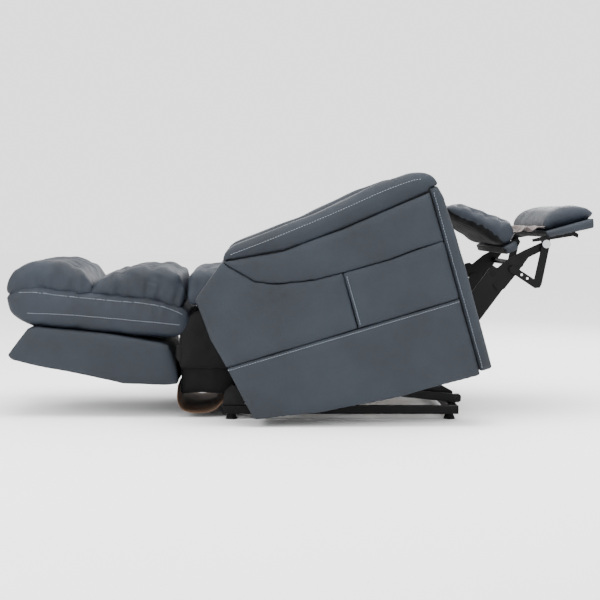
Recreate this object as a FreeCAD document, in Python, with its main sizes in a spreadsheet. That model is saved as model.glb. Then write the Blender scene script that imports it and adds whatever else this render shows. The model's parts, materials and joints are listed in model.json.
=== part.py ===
"""Lift recliner chair: a powered lift frame, a tilting seat with two arms,
a reclining back and a linkage-driven footrest.  All sizes are millimetres.

World frame: +X towards the feet, +Y towards the sitter's left, +Z up, origin on
the floor under the middle of the chair.  The chair is drawn laid flat with the
seat tipped back.

Three drawing frames are used, each with its own origin:
    base  the floor frame itself
    seat  origin on the tilt pivot, turned with the seat
    back  origin on the recline pivot, in the direction of the laid-flat back
"""
import FreeCAD, Part
import os
import re
import Sketcher

os.makedirs("parts", exist_ok=True)
doc = FreeCAD.newDocument("lift_recliner")

# ---------------------------------------------------------------- driving sizes
SIZES = {
    # overall
    "overall_width": 914.0,      # outside to outside of the arms
    "arm_width": 167.0,
    "side_gap": 15.0,            # arm to cushion, each side
    "tilt_rest": 15.5,           # seat angle as drawn, degrees
    # pivots in the base frame
    "tilt_x": 45.0,
    "tilt_z": 100.0,
    "lift_x": 445.0,             # front pivot of the lift arms
    "lift_z": 75.0,
    "prop_x": 503.0,             # front pivot of the second lift link
    "prop_z": 56.0,
    "prop_top_x": 138.0,         # its pivot on the carriage
    "prop_top_z": 93.0,
    # base
    "base_gap": 10.0,            # arm to base tube, each side
    "base_front": 498.0,
    "base_back": -242.0,
    "base_tube": 25.0,
    "foot_tall": 16.0,
    "foot_round": 19.0,
    "foot_inset": 28.0,
    # plates, pins and clearances
    "plate": 4.0,
    "layer_gap": 2.0,
    "stack_in": 74.0,            # inner plate, measured in from the arm
    "pin": 7.0,                  # pin radius
    "run_gap": 0.1,              # running clearance of a pin, radial
    "open_gap": 1.0,             # clearance of the open footrest pivot
    "link_half": 19.0,           # half width of a footrest link
    "lift_half": 16.0,           # half width of a lift arm
    "lift_plate": 6.0,
    # arm, in the seat frame
    "arm_low": -76.0,
    "arm_back": -277.0,
    "arm_heel": -200.0,
    "arm_front": 490.0,
    "post_deep": 41.0,
    "post_top": 507.0,
    "saddle_low": 331.0,
    "seam_back": 429.0,
    "seam_front": 495.0,
    "cap_back": 479.0,
    "cap_front": 566.0,
    "arm_wall": 16.0,
    # seat, in the seat frame
    "seat_back": 5.0,
    "seat_front": 545.0,
    "seat_top": 435.0,
    "cushion_deep": 135.0,
    "deck": 12.0,
    "rail_tall": 32.0,
    # recline pivot in the seat frame
    "hinge_x": -50.0,
    "hinge_z": 320.0,
    "hinge_tube": 12.0,
    # footrest pivots in the seat frame
    "drive_x": 498.0,
    "drive_z": 30.0,
    "knee_x": 652.0,
    "knee_z": 149.0,
    "ankle_x": 828.0,
    "ankle_z": 235.0,
    "pair_x": -10.0,             # upper link, offset from the lower one
    "pair_z": 40.0,
    "crank": 55.0,
    "crank_rest": 24.2,          # crank angle with the footrest out, degrees
    "drive_tube": 10.0,
    # outer footrest pad, measured from its pivot
    "pad_long": 174.0,
    "pad_low": 28.0,
    "pad_board": 10.0,
    "pad_top": 75.0,
    # back, in the back frame
    "back_head": -841.0,
    "base_pad": 118.0,           # depth of the back's under cushion
    "shell_wall": 12.0,
    # actuators
    "screw_tube": 22.0,
    "screw_rod": 8.0,
    "screw_pin": 6.0,
    "eye": 12.0,
    "lug_near": 26.0,            # lug plate, measured sideways from the screw
    "lug": 8.0,
    "motor_round": 21.0,
    "motor_long": 105.0,
}
sheet = doc.addObject("Spreadsheet::Sheet", "Sizes")
for row, (alias, value) in enumerate(SIZES.items(), start=1):
    sheet.set(f"A{row}", alias)
    sheet.set(f"B{row}", str(value))
    sheet.setAlias(f"B{row}", alias)
doc.recompute()

WORD = re.compile(r"[a-z_]+")


def bound(text):
    """An expression with every size name pointed at the sheet."""
    return WORD.sub(lambda m: "Sizes." + m[0] if m[0] in SIZES else m[0], str(text))


# ------------------------------------------------------------------ the frames
ARM_IN = "(overall_width / 2 - arm_width)"
CUSHION_HALF = f"({ARM_IN} - side_gap)"
TURN = "tilt_rest * 1 deg"


def seat_point(x, z):
    """A seat-frame point as base-frame expressions."""
    return (f"(tilt_x + ({x}) * cos({TURN}) - ({z}) * sin({TURN}))",
            f"(tilt_z + ({x}) * sin({TURN}) + ({z}) * cos({TURN}))")


HINGE = seat_point("hinge_x", "hinge_z")
FRAMES = {
    "base": ("0", "0", "0"),
    "seat": ("tilt_x", "tilt_z", "tilt_rest"),
    "back": (HINGE[0], HINGE[1], "0"),
}


def layer(number):
    """Inner face of one of the thin side-by-side linkage layers."""
    return f"({ARM_IN} - stack_in + {number} * (plate + layer_gap))"


def put(piece, frame, y, shift=("0", "0"), extra="0"):
    """Place a piece drawn in a frame, with y as the level of its own XZ plane."""
    x0, z0, turn = FRAMES[frame]
    if frame == "seat":
        x, z = seat_point(*shift)
    else:
        x, z = f"({x0} + ({shift[0]}))", f"({z0} + ({shift[1]}))"
    piece.Placement = FreeCAD.Placement(
        FreeCAD.Vector(), FreeCAD.Rotation(FreeCAD.Vector(0, -1, 0), 5.0))
    piece.setExpression("Placement.Base.x", bound(x))
    piece.setExpression("Placement.Base.y", bound(y))
    piece.setExpression("Placement.Base.z", bound(z))
    piece.setExpression("Placement.Rotation.Angle", bound(f"({turn}) + ({extra})"))


# -------------------------------------------------------------- drawing helpers
def draw(sketch, points, holes):
    """A closed outline and round holes, each coordinate bound to the sheet."""
    values = [(number(x), number(z)) for x, z in points]
    count = len(points)
    for i, start in enumerate(values):
        end = values[(i + 1) % count]
        sketch.addGeometry(Part.LineSegment(
            FreeCAD.Vector(*start, 0), FreeCAD.Vector(*end, 0)), False)
    for i in range(count):
        sketch.addConstraint(Sketcher.Constraint("Coincident", i, 2, (i + 1) % count, 1))
    for i, point in enumerate(points):
        pin_down(sketch, i, 1, point, values[i])
    for x, z, radius in holes:
        place = (number(x), number(z))
        circle = sketch.addGeometry(Part.Circle(
            FreeCAD.Vector(*place, 0), FreeCAD.Vector(0, 0, 1), number(radius)), False)
        pin_down(sketch, circle, 3, (x, z), place)
        rule = sketch.addConstraint(Sketcher.Constraint("Radius", circle, number(radius)))
        sketch.setExpression(f"Constraints[{rule}]", bound(radius))


def pin_down(sketch, item, end, point, values):
    for kind, text, value in zip(("DistanceX", "DistanceY"), point, values):
        rule = sketch.addConstraint(
            Sketcher.Constraint(kind, -1, 1, item, end, value))
        sketch.setExpression(f"Constraints[{rule}]", bound(text))


def number(text):
    """The present value of an expression, for a first guess of the sketch."""
    return float(FreeCAD.Units.Quantity(sheet.evalExpression(bound(text))).Value)


def slab(name, frame, points, y_near, y_far, holes=(), window=None):
    """A flat piece: an outline in XZ, from y_near to y_far (y_far is larger)."""
    body = doc.addObject("PartDesign::Body", name)
    plane = next(p for p in body.Origin.OriginFeatures if p.Role == "XZ_Plane")
    sketch = body.newObject("Sketcher::SketchObject", name + "_outline")
    sketch.AttachmentSupport = [(plane, "")]
    sketch.MapMode = "FlatFace"
    draw(sketch, points, holes)
    pad = body.newObject("PartDesign::Pad", name + "_pad")
    pad.Profile = sketch
    pad.setExpression("Length", bound(f"({y_far}) - ({y_near})"))
    if window:
        inner = body.newObject("Sketcher::SketchObject", name + "_window")
        inner.AttachmentSupport = [(plane, "")]
        inner.MapMode = "FlatFace"
        outline, from_far, deep = window
        inner.AttachmentOffset = FreeCAD.Placement(
            FreeCAD.Vector(0, 0, 1), FreeCAD.Rotation())
        inner.setExpression("AttachmentOffset.Base.z", bound(from_far))
        draw(inner, outline, ())
        pocket = body.newObject("PartDesign::Pocket", name + "_pocket")
        pocket.Profile = inner
        pocket.setExpression("Length", bound(deep))
        pocket.Reversed = True
    put(body, frame, y_far)
    return body


def mirrored_slabs(name, frame, points, near, far, holes=()):
    """The same plate on the left (+Y) and on the right (-Y)."""
    left = slab(name + "_l", frame, points, near, far, holes)
    right = slab(name + "_r", frame, points, f"-({far})", f"-({near})", holes)
    return [left, right]


def bar_y(name, frame, x, z, radius, y_near, y_far):
    """A round bar along Y."""
    bar = doc.addObject("Part::Cylinder", name)
    bar.setExpression("Radius", bound(radius))
    bar.setExpression("Height", bound(f"({y_far}) - ({y_near})"))
    cut_free = doc.addObject("Part::Compound", name + "_across")
    cut_free.Links = [bar]
    bar.Placement = FreeCAD.Placement(
        FreeCAD.Vector(), FreeCAD.Rotation(FreeCAD.Vector(1, 0, 0), 90))
    put(cut_free, frame, y_far, (x, z))
    return cut_free


def mirrored_bars(name, frame, x, z, radius, near, far):
    return [bar_y(name + "_l", frame, x, z, radius, near, far),
            bar_y(name + "_r", frame, x, z, radius, f"-({far})", f"-({near})")]


def joined(name, pieces):
    """Pieces welded into one solid."""
    weld = doc.addObject("Part::MultiFuse", name)
    weld.Shapes = pieces
    return weld


def grouped(name, pieces):
    """Separate like solids that share one node."""
    group = doc.addObject("Part::Compound", name)
    group.Links = pieces
    return group


NODES = []


def node(label, piece):
    piece.Label = label
    NODES.append(piece)


def capsule(x1, z1, x2, z2, half, slope):
    """A straight link with chamfered ends; slope is its direction in degrees."""
    c, s = f"cos({slope} * 1 deg)", f"sin({slope} * 1 deg)"
    small = f"({half}) * 0.45"
    ends = [(x1, z1, f"-{small}", f"-({half})"), (x2, z2, small, f"-({half})"),
            (x2, z2, f"({half})", f"-{small}"), (x2, z2, f"({half})", small),
            (x2, z2, small, f"({half})"), (x1, z1, f"-{small}", f"({half})"),
            (x1, z1, f"-({half})", small), (x1, z1, f"-({half})", f"-{small}")]
    return [(f"({x}) + ({u}) * {c} - ({v}) * {s}", f"({z}) + ({u}) * {s} + ({v}) * {c}")
            for x, z, u, v in ends]


def slope_of(x1, z1, x2, z2):
    return f"(atan2(({z2}) - ({z1}); ({x2}) - ({x1})) / 1 deg)"


def link_outline(x1, z1, x2, z2, half):
    return capsule(x1, z1, x2, z2, half, slope_of(x1, z1, x2, z2))


def box_outline(x1, x2, z1, z2):
    return [(x1, z1), (x2, z1), (x2, z2), (x1, z2)]


# ------------------------------------------------------------------------ base
TUBE_LOW = "foot_tall"
TUBE_TOP = "(foot_tall + base_tube)"
BASE_HALF = f"({ARM_IN} - base_gap)"
TUBE_IN = f"({BASE_HALF} - base_tube)"
for side, near, far in (("left", TUBE_IN, BASE_HALF),
                        ("right", f"-{BASE_HALF}", f"-{TUBE_IN}")):
    node(f"base_tube_{side}", slab(
        f"base_tube_{side}", "base",
        box_outline("base_back", "base_front", TUBE_LOW, TUBE_TOP), near, far))


def cross_tube(name, x):
    return slab(name, "base", box_outline(x, f"{x} + base_tube", TUBE_LOW, TUBE_TOP),
                f"-{TUBE_IN}", TUBE_IN)


REAR_SCREW = ("-147", "71")
node("base_cross_front", cross_tube("base_cross_front", "base_front - base_tube"))
node("base_cross_rear", cross_tube("base_cross_rear", "base_back + 12"))
middle = cross_tube("middle_tube", f"{REAR_SCREW[0]} - base_tube / 2")
lift_lug = slab("lift_lug", "base", [
    (f"{REAR_SCREW[0]} - base_tube / 2", TUBE_TOP), (f"{REAR_SCREW[0]} + base_tube / 2", TUBE_TOP),
    (f"{REAR_SCREW[0]} + eye", f"{REAR_SCREW[1]} + eye"),
    (f"{REAR_SCREW[0]} - eye", f"{REAR_SCREW[1]} + eye")],
    "-lug_near - lug", "-lug_near")
lift_lug_pin = bar_y("lift_lug_pin", "base", *REAR_SCREW, "screw_pin", "-lug_near - lug", "lug")
node("base_cross_middle", joined("base_cross_middle", [middle, lift_lug, lift_lug_pin]))

# Ears for the two front pivots stand on the front cross tube.
EAR_IN = f"({layer(0)} - 46)"
EAR_OUT = f"({EAR_IN} + 8)"
ear = [("base_front - base_tube", TUBE_TOP), ("base_front", TUBE_TOP),
       ("base_front - 4", "lift_z"), ("lift_x + 16", "lift_z + 18"),
       ("lift_x - 14", "lift_z + 18"), ("lift_x - 20", "lift_z + 8"),
       ("lift_x - 20", "lift_z - 10")]
lift_ears = mirrored_slabs("lift_ear", "base", ear, EAR_IN, EAR_OUT,
                           [("lift_x", "lift_z", "pin + run_gap")])
PROP_EAR = f"({layer(0)} - 16)"
prop_ear = [("base_front - base_tube + 8", TUBE_TOP), ("base_front", TUBE_TOP),
            ("prop_x + 14", "prop_z - 8"), ("prop_x + 14", "prop_z + 8"),
            ("prop_x + 7", "prop_z + 14"), ("prop_x - 7", "prop_z + 14"),
            ("base_front - base_tube + 8", "prop_z + 4")]
prop_parts = []
for side, sign in (("l", 1), ("r", -1)):
    near, far = (PROP_EAR, f"{PROP_EAR} + lift_plate")
    pin_far = f"{layer(0)} - 1.4"
    if sign < 0:
        plate_piece = slab("prop_ear_r", "base", prop_ear, f"-({far})", f"-({near})")
        pin_piece = bar_y("prop_pin_r", "base", "prop_x", "prop_z", "screw_pin",
                          f"-({pin_far})", f"-({near})")
    else:
        plate_piece = slab("prop_ear_l", "base", prop_ear, near, far)
        pin_piece = bar_y("prop_pin_l", "base", "prop_x", "prop_z", "screw_pin", near, pin_far)
    prop_parts.append(joined(f"prop_mount_{side}", [plate_piece, pin_piece]))
node("base_lift_brackets", grouped("base_lift_brackets", lift_ears + prop_parts))

rear_ear = [("base_back", TUBE_TOP), ("base_back + 68", TUBE_TOP),
            ("base_back + 66", TUBE_TOP + " + 34"), ("base_back + 50", TUBE_TOP + " + 58"),
            ("base_back + 28", TUBE_TOP + " + 64"), ("base_back + 6", TUBE_TOP + " + 44")]
node("base_rear_ears", grouped("base_rear_ears", mirrored_slabs(
    "rear_ear", "base", rear_ear, f"{TUBE_IN} + 4", f"{TUBE_IN} + 14")))

feet = []
for x in ("base_front - foot_inset", "base_back + foot_inset"):
    for sign in (1, -1):
        disc = doc.addObject("Part::Cone", f"foot_{len(feet)}")
        disc.setExpression("Radius1", bound("foot_round"))
        disc.setExpression("Radius2", bound("foot_round * 0.62"))
        disc.setExpression("Height", bound("foot_tall"))
        disc.setExpression("Placement.Base.x", bound(x))
        disc.setExpression("Placement.Base.y", bound(f"{sign} * ({BASE_HALF} - base_tube / 2)"))
        feet.append(disc)
node("base_feet", grouped("base_feet", feet))

# ------------------------------------------------------------------- lift arms
ARM_LAYER = f"({layer(0)} - 32)"
ARM_LAYER_OUT = f"({ARM_LAYER} + lift_plate)"
lift_outline = link_outline("tilt_x", "tilt_z", "lift_x", "lift_z", "lift_half")
lift_bars = mirrored_slabs("lift_arm", "base", lift_outline, ARM_LAYER, ARM_LAYER_OUT,
                           [("tilt_x", "tilt_z", "pin + run_gap")])
lift_pins = mirrored_bars("lift_pin", "base", "lift_x", "lift_z", "pin",
                          f"{EAR_IN} - 6", ARM_LAYER_OUT)
node("lift_arms", grouped("lift_arms", [
    joined("lift_arm_left", [lift_bars[0], lift_pins[0]]),
    joined("lift_arm_right", [lift_bars[1], lift_pins[1]])]))
LIFT_LEVER = ("430", "130")
torque = bar_y("torque_bar", "base", "lift_x", "lift_z", "pin + 11",
               f"-{EAR_IN} + 2", f"{EAR_IN} - 2")
torque_ends = bar_y("torque_bore", "base", "lift_x", "lift_z", "pin",
                    f"-{EAR_IN}", f"{EAR_IN}")
torque_tube = doc.addObject("Part::Cut", "torque_tube")
torque_tube.Base = torque
torque_tube.Tool = torque_ends
lift_lever = slab("lift_lever", "base", [
    ("lift_x + 19", "lift_z + 4"), ("lift_x + 19", "lift_z + 40"),
    (f"{LIFT_LEVER[0]} + 24", f"{LIFT_LEVER[1]} + 10"),
    (f"{LIFT_LEVER[0]} + 10", f"{LIFT_LEVER[1]} + 24"),
    (f"{LIFT_LEVER[0]} - 10", f"{LIFT_LEVER[1]} + 24"),
    (f"{LIFT_LEVER[0]} - 24", f"{LIFT_LEVER[1]} + 10"),
    (f"{LIFT_LEVER[0]} - 24", f"{LIFT_LEVER[1]} - 12"), ("lift_x - 19", "lift_z + 4"),
    ("lift_x - 12", "lift_z + 10"), ("lift_x + 12", "lift_z + 10")],
    "-lug_near - lug", "-lug_near", [(*LIFT_LEVER, "screw_pin + 8.5")])
node("lift_torque_tube", joined("lift_torque_tube", [torque_tube, lift_lever]))

# The second link keeps the carriage turning; its upper hole is slack.
PROP_IN = f"({layer(0)} - 8)"
node("lift_links", grouped("lift_links", mirrored_slabs(
    "lift_link", "base",
    link_outline("prop_top_x", "prop_top_z", "prop_x", "prop_z", "13"),
    PROP_IN, f"{PROP_IN} + 5",
    [("prop_x", "prop_z", "screw_pin + run_gap"), ("prop_top_x", "prop_top_z", "5 + 4")])))

# -------------------------------------------------------------------- carriage
RAIL_IN = f"({ARM_LAYER_OUT} + 4)"
RAIL_OUT = f"({layer(0)} - 10)"
CARRIAGE_BACK = "(tilt_x - 90)"
rail = [(CARRIAGE_BACK, "tilt_z + 8"), ("tilt_x - 20", "tilt_z - 16"),
        ("prop_top_x + 30", "tilt_z - 22"), ("prop_top_x + 52", "tilt_z - 8"),
        ("prop_top_x + 52", "tilt_z + 12"), ("prop_top_x - 10", "tilt_z + 44"),
        ("prop_top_x - 44", "tilt_z + 44"), ("tilt_x", "tilt_z + 26"),
        (CARRIAGE_BACK, "tilt_z + 32")]
rails = mirrored_slabs("carriage_rail", "base", rail, RAIL_IN, RAIL_OUT)
tilt_pins = mirrored_bars("tilt_pin", "base", "tilt_x", "tilt_z", "pin",
                          f"{ARM_LAYER} - 2", f"{layer(0)} + plate + 1")
prop_pins = mirrored_bars("prop_top_pin", "base", "prop_top_x", "prop_top_z", "5",
                          RAIL_IN, f"{layer(0)} - 1.4")
node("carriage_rails", grouped("carriage_rails", [
    joined("carriage_left", [rails[0], tilt_pins[0], prop_pins[0]]),
    joined("carriage_right", [rails[1], tilt_pins[1], prop_pins[1]])]))
TILT_SCREW = ("145", "96")
TILT_SIDE = "-100"
rear_bar = slab("carriage_rear_bar", "base",
                box_outline(CARRIAGE_BACK, f"{CARRIAGE_BACK} + 18", "tilt_z + 13", "tilt_z + 31"),
                f"-{RAIL_IN}", RAIL_IN)
middle_bar = slab("carriage_middle_bar", "base",
                  box_outline("prop_top_x - 40", "prop_top_x - 22", "tilt_z + 26", "tilt_z + 42"),
                  f"-{RAIL_IN}", RAIL_IN)
tilt_lug = slab("tilt_lug", "base", [
    ("prop_top_x - 40", "tilt_z + 26"), (f"{TILT_SCREW[0]} - 10", f"{TILT_SCREW[1]} - 14"),
    (f"{TILT_SCREW[0]} + 10", f"{TILT_SCREW[1]} - 14"),
    (f"{TILT_SCREW[0]} + 14", f"{TILT_SCREW[1]} + 6"),
    ("prop_top_x - 6", "tilt_z + 42"), ("prop_top_x - 40", "tilt_z + 42")],
    f"{TILT_SIDE} - lug_near - lug", f"{TILT_SIDE} - lug_near")
tilt_lug_pin = bar_y("tilt_lug_pin", "base", *TILT_SCREW, "screw_pin",
                     f"{TILT_SIDE} - lug_near - lug", f"{TILT_SIDE} + lug")
node("carriage_cross_members", grouped("carriage_cross_members", [
    rear_bar, joined("carriage_tilt_mount", [middle_bar, tilt_lug, tilt_lug_pin])]))


# ------------------------------------------------------------------- actuators
def screw_jack(name, frame, foot, head, side, tube_long, travel_in, motor_side):
    """A motor-driven screw: a bored tube with a motor, and a rod with an eye."""
    x1, z1 = foot
    x2, z2 = head
    slope = slope_of(x1, z1, x2, z2)
    gap = f"sqrt((({x2}) - ({x1})) ^ 2 + (({z2}) - ({z1})) ^ 2)"

    def along_x(part_name, radius, start, end, y="0"):
        bar = doc.addObject("Part::Cylinder", part_name)
        bar.Placement = FreeCAD.Placement(
            FreeCAD.Vector(), FreeCAD.Rotation(FreeCAD.Vector(0, 1, 0), 90))
        bar.setExpression("Radius", bound(radius))
        bar.setExpression("Height", bound(f"({end}) - ({start})"))
        bar.setExpression("Placement.Base.x", bound(start))
        bar.setExpression("Placement.Base.y", bound(y))
        return bar

    def across(part_name, radius, x, near, far):
        bar = doc.addObject("Part::Cylinder", part_name)
        bar.Placement = FreeCAD.Placement(
            FreeCAD.Vector(), FreeCAD.Rotation(FreeCAD.Vector(1, 0, 0), 90))
        bar.setExpression("Radius", bound(radius))
        bar.setExpression("Height", bound(f"({far}) - ({near})"))
        bar.setExpression("Placement.Base.x", bound(x))
        bar.setExpression("Placement.Base.y", bound(far))
        return bar

    tube = along_x(name + "_tube", "screw_tube", "eye + 2", tube_long)
    boss = across(name + "_boss", "eye", "0", "-lug", "lug")
    neck = along_x(name + "_neck", "lug - 1", "2", "eye + 4")
    motor = along_x(name + "_motor", "motor_round", "eye + 8", "eye + 8 + motor_long",
                    f"{motor_side} * (screw_tube + motor_round + 3)")
    gearbox = doc.addObject("Part::Box", name + "_gearbox")
    gearbox.setExpression("Length", bound("34"))
    gearbox.setExpression("Width", bound("screw_tube + motor_round + 3"))
    gearbox.setExpression("Height", bound("motor_round * 1.6"))
    gearbox.setExpression("Placement.Base.x", bound("eye + 6"))
    start = "0" if motor_side > 0 else "-(screw_tube + motor_round + 3)"
    gearbox.setExpression("Placement.Base.y", bound(start))
    gearbox.setExpression("Placement.Base.z", bound("-motor_round * 0.8"))
    solid = joined(name + "_solid", [tube, boss, neck, motor, gearbox])
    bore = along_x(name + "_bore", "screw_rod + run_gap", f"{tube_long} - {travel_in}",
                   f"{tube_long} + 1")
    eye_hole = across(name + "_eye_hole", "screw_pin + run_gap", "0", "-lug - 1", "lug + 1")
    body = doc.addObject("Part::Cut", name + "_body")
    body.Base = solid
    body.Tool = joined(name + "_holes", [bore, eye_hole])
    put(body, frame, side, foot, slope)
    node(name + "_body", body)
    rod = along_x(name + "_shaft", "screw_rod", f"{tube_long} - {travel_in} + 25 - ({gap})", "-2")
    head_boss = across(name + "_head", "eye", "0", "-lug - 1", "lug + 1")
    head_pin = across(name + "_head_pin", "screw_pin", "0", "-lug_near - lug - 2", "0")
    thrust = joined(name + "_rod", [rod, head_boss, head_pin])
    put(thrust, frame, side, head, slope)
    node(name + "_rod", thrust)


screw_jack("lift_actuator", "base", REAR_SCREW, LIFT_LEVER, "0", "300", "120", 1)

TILT_HEAD_SEAT = ("293.5", "104.3")
tilt_head = tuple(seat_point(*TILT_HEAD_SEAT))
screw_jack("tilt_actuator", "base", TILT_SCREW, tilt_head, TILT_SIDE, "165", "80", 1)
RECLINE_SCREW = ("139", "228")
RECLINE_HEAD = ("-70", "226")
RECLINE_SIDE = "100"
screw_jack("recline_actuator", "seat", RECLINE_SCREW, RECLINE_HEAD, RECLINE_SIDE,
           "150", "110", 1)

# ----------------------------------------------------------- seat steel and deck
DECK_TOP = "(seat_top - cushion_deep - 1)"
DECK_LOW = f"({DECK_TOP} - deck)"
outer_plate = [
    ("hinge_x - 40", "arm_low + 60"), ("drive_x + 10", "drive_z - 70"),
    ("drive_x + 10", "drive_z + pair_z + 15"), ("drive_x - 30", "drive_z + pair_z + 15"),
    ("drive_x - 34", "10"), ("60", "10"), ("40", "150"), ("hinge_x + 28", "hinge_z - 30"),
    ("hinge_x + 20", "hinge_z + 14"), ("hinge_x + 8", "hinge_z + 22"),
    ("hinge_x - 8", "hinge_z + 22"), ("hinge_x - 20", "hinge_z + 14"),
    ("hinge_x - 22", "hinge_z - 40"), ("hinge_x - 10", "120")]
pair_pivot = ("drive_x + pair_x", "drive_z + pair_z")
OUTER_IN = layer(4)
OUTER_OUT = f"({OUTER_IN} + plate + 1)"
strut_outline_rear = box_outline("0", "60", "-36", "6")
strut_outline_front = box_outline("300", "360", "-30", "6")
plate_holes = [("hinge_x", "hinge_z", "10 + run_gap"), (*pair_pivot, "pin + run_gap")]
for side in ("left", "right"):
    pieces = []
    for part_name, outline, near, far, holes in (
            ("plate", outer_plate, OUTER_IN, OUTER_OUT, plate_holes),
            ("strut_rear", strut_outline_rear, OUTER_OUT, ARM_IN, ()),
            ("strut_front", strut_outline_front, OUTER_OUT, ARM_IN, ())):
        y_near, y_far = (near, far) if side == "left" else (f"-({far})", f"-({near})")
        pieces.append(slab(f"outer_{part_name}_{side}", "seat", outline, y_near, y_far, holes))
    node(f"seat_side_plate_{side}", joined(f"seat_side_plate_{side}", pieces))

inner_plate = [("-24", "-16"), ("24", "-16"), ("drive_x + 8", "drive_z - 24"),
               ("drive_x + 10", "drive_z + 8"), ("drive_x - 12", "drive_z + 40"),
               ("400", "80"), ("360", "96"), ("338", "150"), ("300", f"{DECK_LOW} - rail_tall"),
               ("80", f"{DECK_LOW} - rail_tall"), ("60", "120"), ("-24", "16")]
INNER_OUT = f"({layer(0)} + plate)"
inner_holes = [("0", "0", "pin + run_gap"), ("drive_x", "drive_z", "pin + run_gap")]
for side, near, far in (("left", layer(0), INNER_OUT),
                        ("right", f"-{INNER_OUT}", f"-{layer(0)}")):
    node(f"seat_inner_plate_{side}", slab(
        f"seat_inner_plate_{side}", "seat", inner_plate, near, far, inner_holes))

RAIL_START = "-24"
RAIL_END = "360"
node("seat_rails", grouped("seat_rails", mirrored_slabs(
    "seat_rail", "seat", box_outline(RAIL_START, RAIL_END, f"{DECK_LOW} - rail_tall", DECK_LOW),
    layer(0), OUTER_IN)))
tilt_bar = bar_y("tilt_bar", "seat", "310", "130", "11", f"-{layer(0)}", layer(0))
tilt_head_lug = slab("tilt_head_lug", "seat", [
    (f"{TILT_HEAD_SEAT[0]} - 14", f"{TILT_HEAD_SEAT[1]} - 14"),
    (f"{TILT_HEAD_SEAT[0]} + 14", f"{TILT_HEAD_SEAT[1]} - 14"), ("320", "122"),
    ("318", "136"), ("300", "136"), (f"{TILT_HEAD_SEAT[0]} - 14", f"{TILT_HEAD_SEAT[1]} + 10")],
    f"{TILT_SIDE} - lug_near - lug", f"{TILT_SIDE} - lug_near",
    [(*TILT_HEAD_SEAT, "screw_pin + 2.2")])
recline_bar = bar_y("recline_bar", "seat", "165", "228", "11", f"-{layer(0)}", layer(0))
recline_lug = slab("recline_lug", "seat", [
    (f"{RECLINE_SCREW[0]} - 12", f"{RECLINE_SCREW[1]} - 11"), ("168", "218"), ("168", "238"),
    (f"{RECLINE_SCREW[0]} - 12", f"{RECLINE_SCREW[1]} + 11")],
    f"{RECLINE_SIDE} - lug_near - lug", f"{RECLINE_SIDE} - lug_near")
recline_lug_pin = bar_y("recline_lug_pin", "seat", *RECLINE_SCREW, "screw_pin",
                        f"{RECLINE_SIDE} - lug_near - lug", f"{RECLINE_SIDE} + lug")
DRIVE_SIDE = "63"
SCREW_Z = "drive_z + crank * 0.72"
drive_bar = bar_y("drive_bar", "seat", "110", SCREW_Z, "11", f"-{layer(0)}", layer(0))
node("seat_cross_tubes", grouped("seat_cross_tubes", [
    joined("tilt_cross_tube", [tilt_bar, tilt_head_lug]),
    joined("recline_cross_tube", [recline_bar, recline_lug, recline_lug_pin]), drive_bar]))
node("seat_deck", slab("seat_deck", "seat",
                       box_outline("-24", "seat_front - 20", DECK_LOW, DECK_TOP),
                       f"-{layer(1)}", layer(1)))
node("seat_cushion", slab("seat_cushion", "seat", [
    ("seat_back", "seat_top - cushion_deep"), ("seat_front - 14", "seat_top - cushion_deep"),
    ("seat_front", "seat_top - cushion_deep + 16"), ("seat_front", "seat_top - 24"),
    ("seat_front - 26", "seat_top"), ("seat_back + 20", "seat_top - 12"),
    ("seat_back", "seat_top - 30")], f"-{CUSHION_HALF}", CUSHION_HALF))
node("control_box", slab("control_box", "seat",
                         box_outline("215", "335", f"{DECK_LOW} - 40", DECK_LOW), "-70", "50"))

# ------------------------------------------------------------------------ arms
SADDLE_LINE = [("arm_back + 109", "cap_back - 20"), ("arm_back + 148", "saddle_low + 85"),
               ("arm_back + 188", "saddle_low + 44"), ("arm_back + 249", "saddle_low + 20"),
               ("86", "saddle_low + 1"), ("324", "saddle_low"), ("arm_front - 84", "saddle_low + 8"),
               ("arm_front", "saddle_low + 11")]
side_panel = [("arm_heel", "arm_low + 52"), ("arm_heel + 195", "arm_low + 20"),
              ("arm_heel + 436", "arm_low + 2"), ("arm_front", "arm_low")]
side_panel += list(reversed(SADDLE_LINE))
side_panel += [("arm_back", "saddle_low + 40"), ("arm_back + 12", "saddle_low - 87"),
               ("arm_back + 39", "arm_low + 193")]
saddle = [(x, f"{z} + 0.5") for x, z in SADDLE_LINE] + [("arm_front", "seam_front"),
                                                      ("208", "seam_back + 28")]
cap = [("arm_back + 109.5", "cap_back - 19"), ("208", "seam_back + 28.5"),
       ("arm_front", "seam_front + 0.5"), ("arm_front", "post_top + 1"),
       ("arm_front + post_deep - 8", "post_top + 1"), ("arm_front + 24", "cap_front - 51"),
       ("arm_front + 7", "cap_front - 14"), ("arm_front - 37", "cap_front"),
       ("349", "cap_front - 5"), ("140", "cap_back + 45"), ("arm_back + 154", "cap_back + 18"),
       ("arm_back + 122", "cap_back")]
post = [("arm_front + 0.5", "arm_low + 7"), ("arm_front + post_deep", "arm_low + 9"),
        ("arm_front + post_deep + 2", "saddle_low"), ("arm_front + post_deep - 4", "post_top - 30"),
        ("arm_front + post_deep - 12", "post_top"), ("arm_front + 0.5", "post_top")]
frame_panel = [("arm_heel + 14", "arm_low + 70"), ("arm_heel + 200", "arm_low + 38"),
               ("arm_front - 14", "arm_low + 18"), ("arm_front - 14", "saddle_low - 8"),
               ("324", "saddle_low - 10"), ("86", "saddle_low - 10"),
               ("arm_back + 240", "saddle_low + 6"), ("arm_back + 178", "saddle_low + 30"),
               ("arm_back + 137", "saddle_low + 70"), ("arm_back + 98", "saddle_low + 110"),
               ("arm_back + 14", "saddle_low + 34"), ("arm_back + 26", "saddle_low - 86"),
               ("arm_back + 52", "arm_low + 194")]
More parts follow.
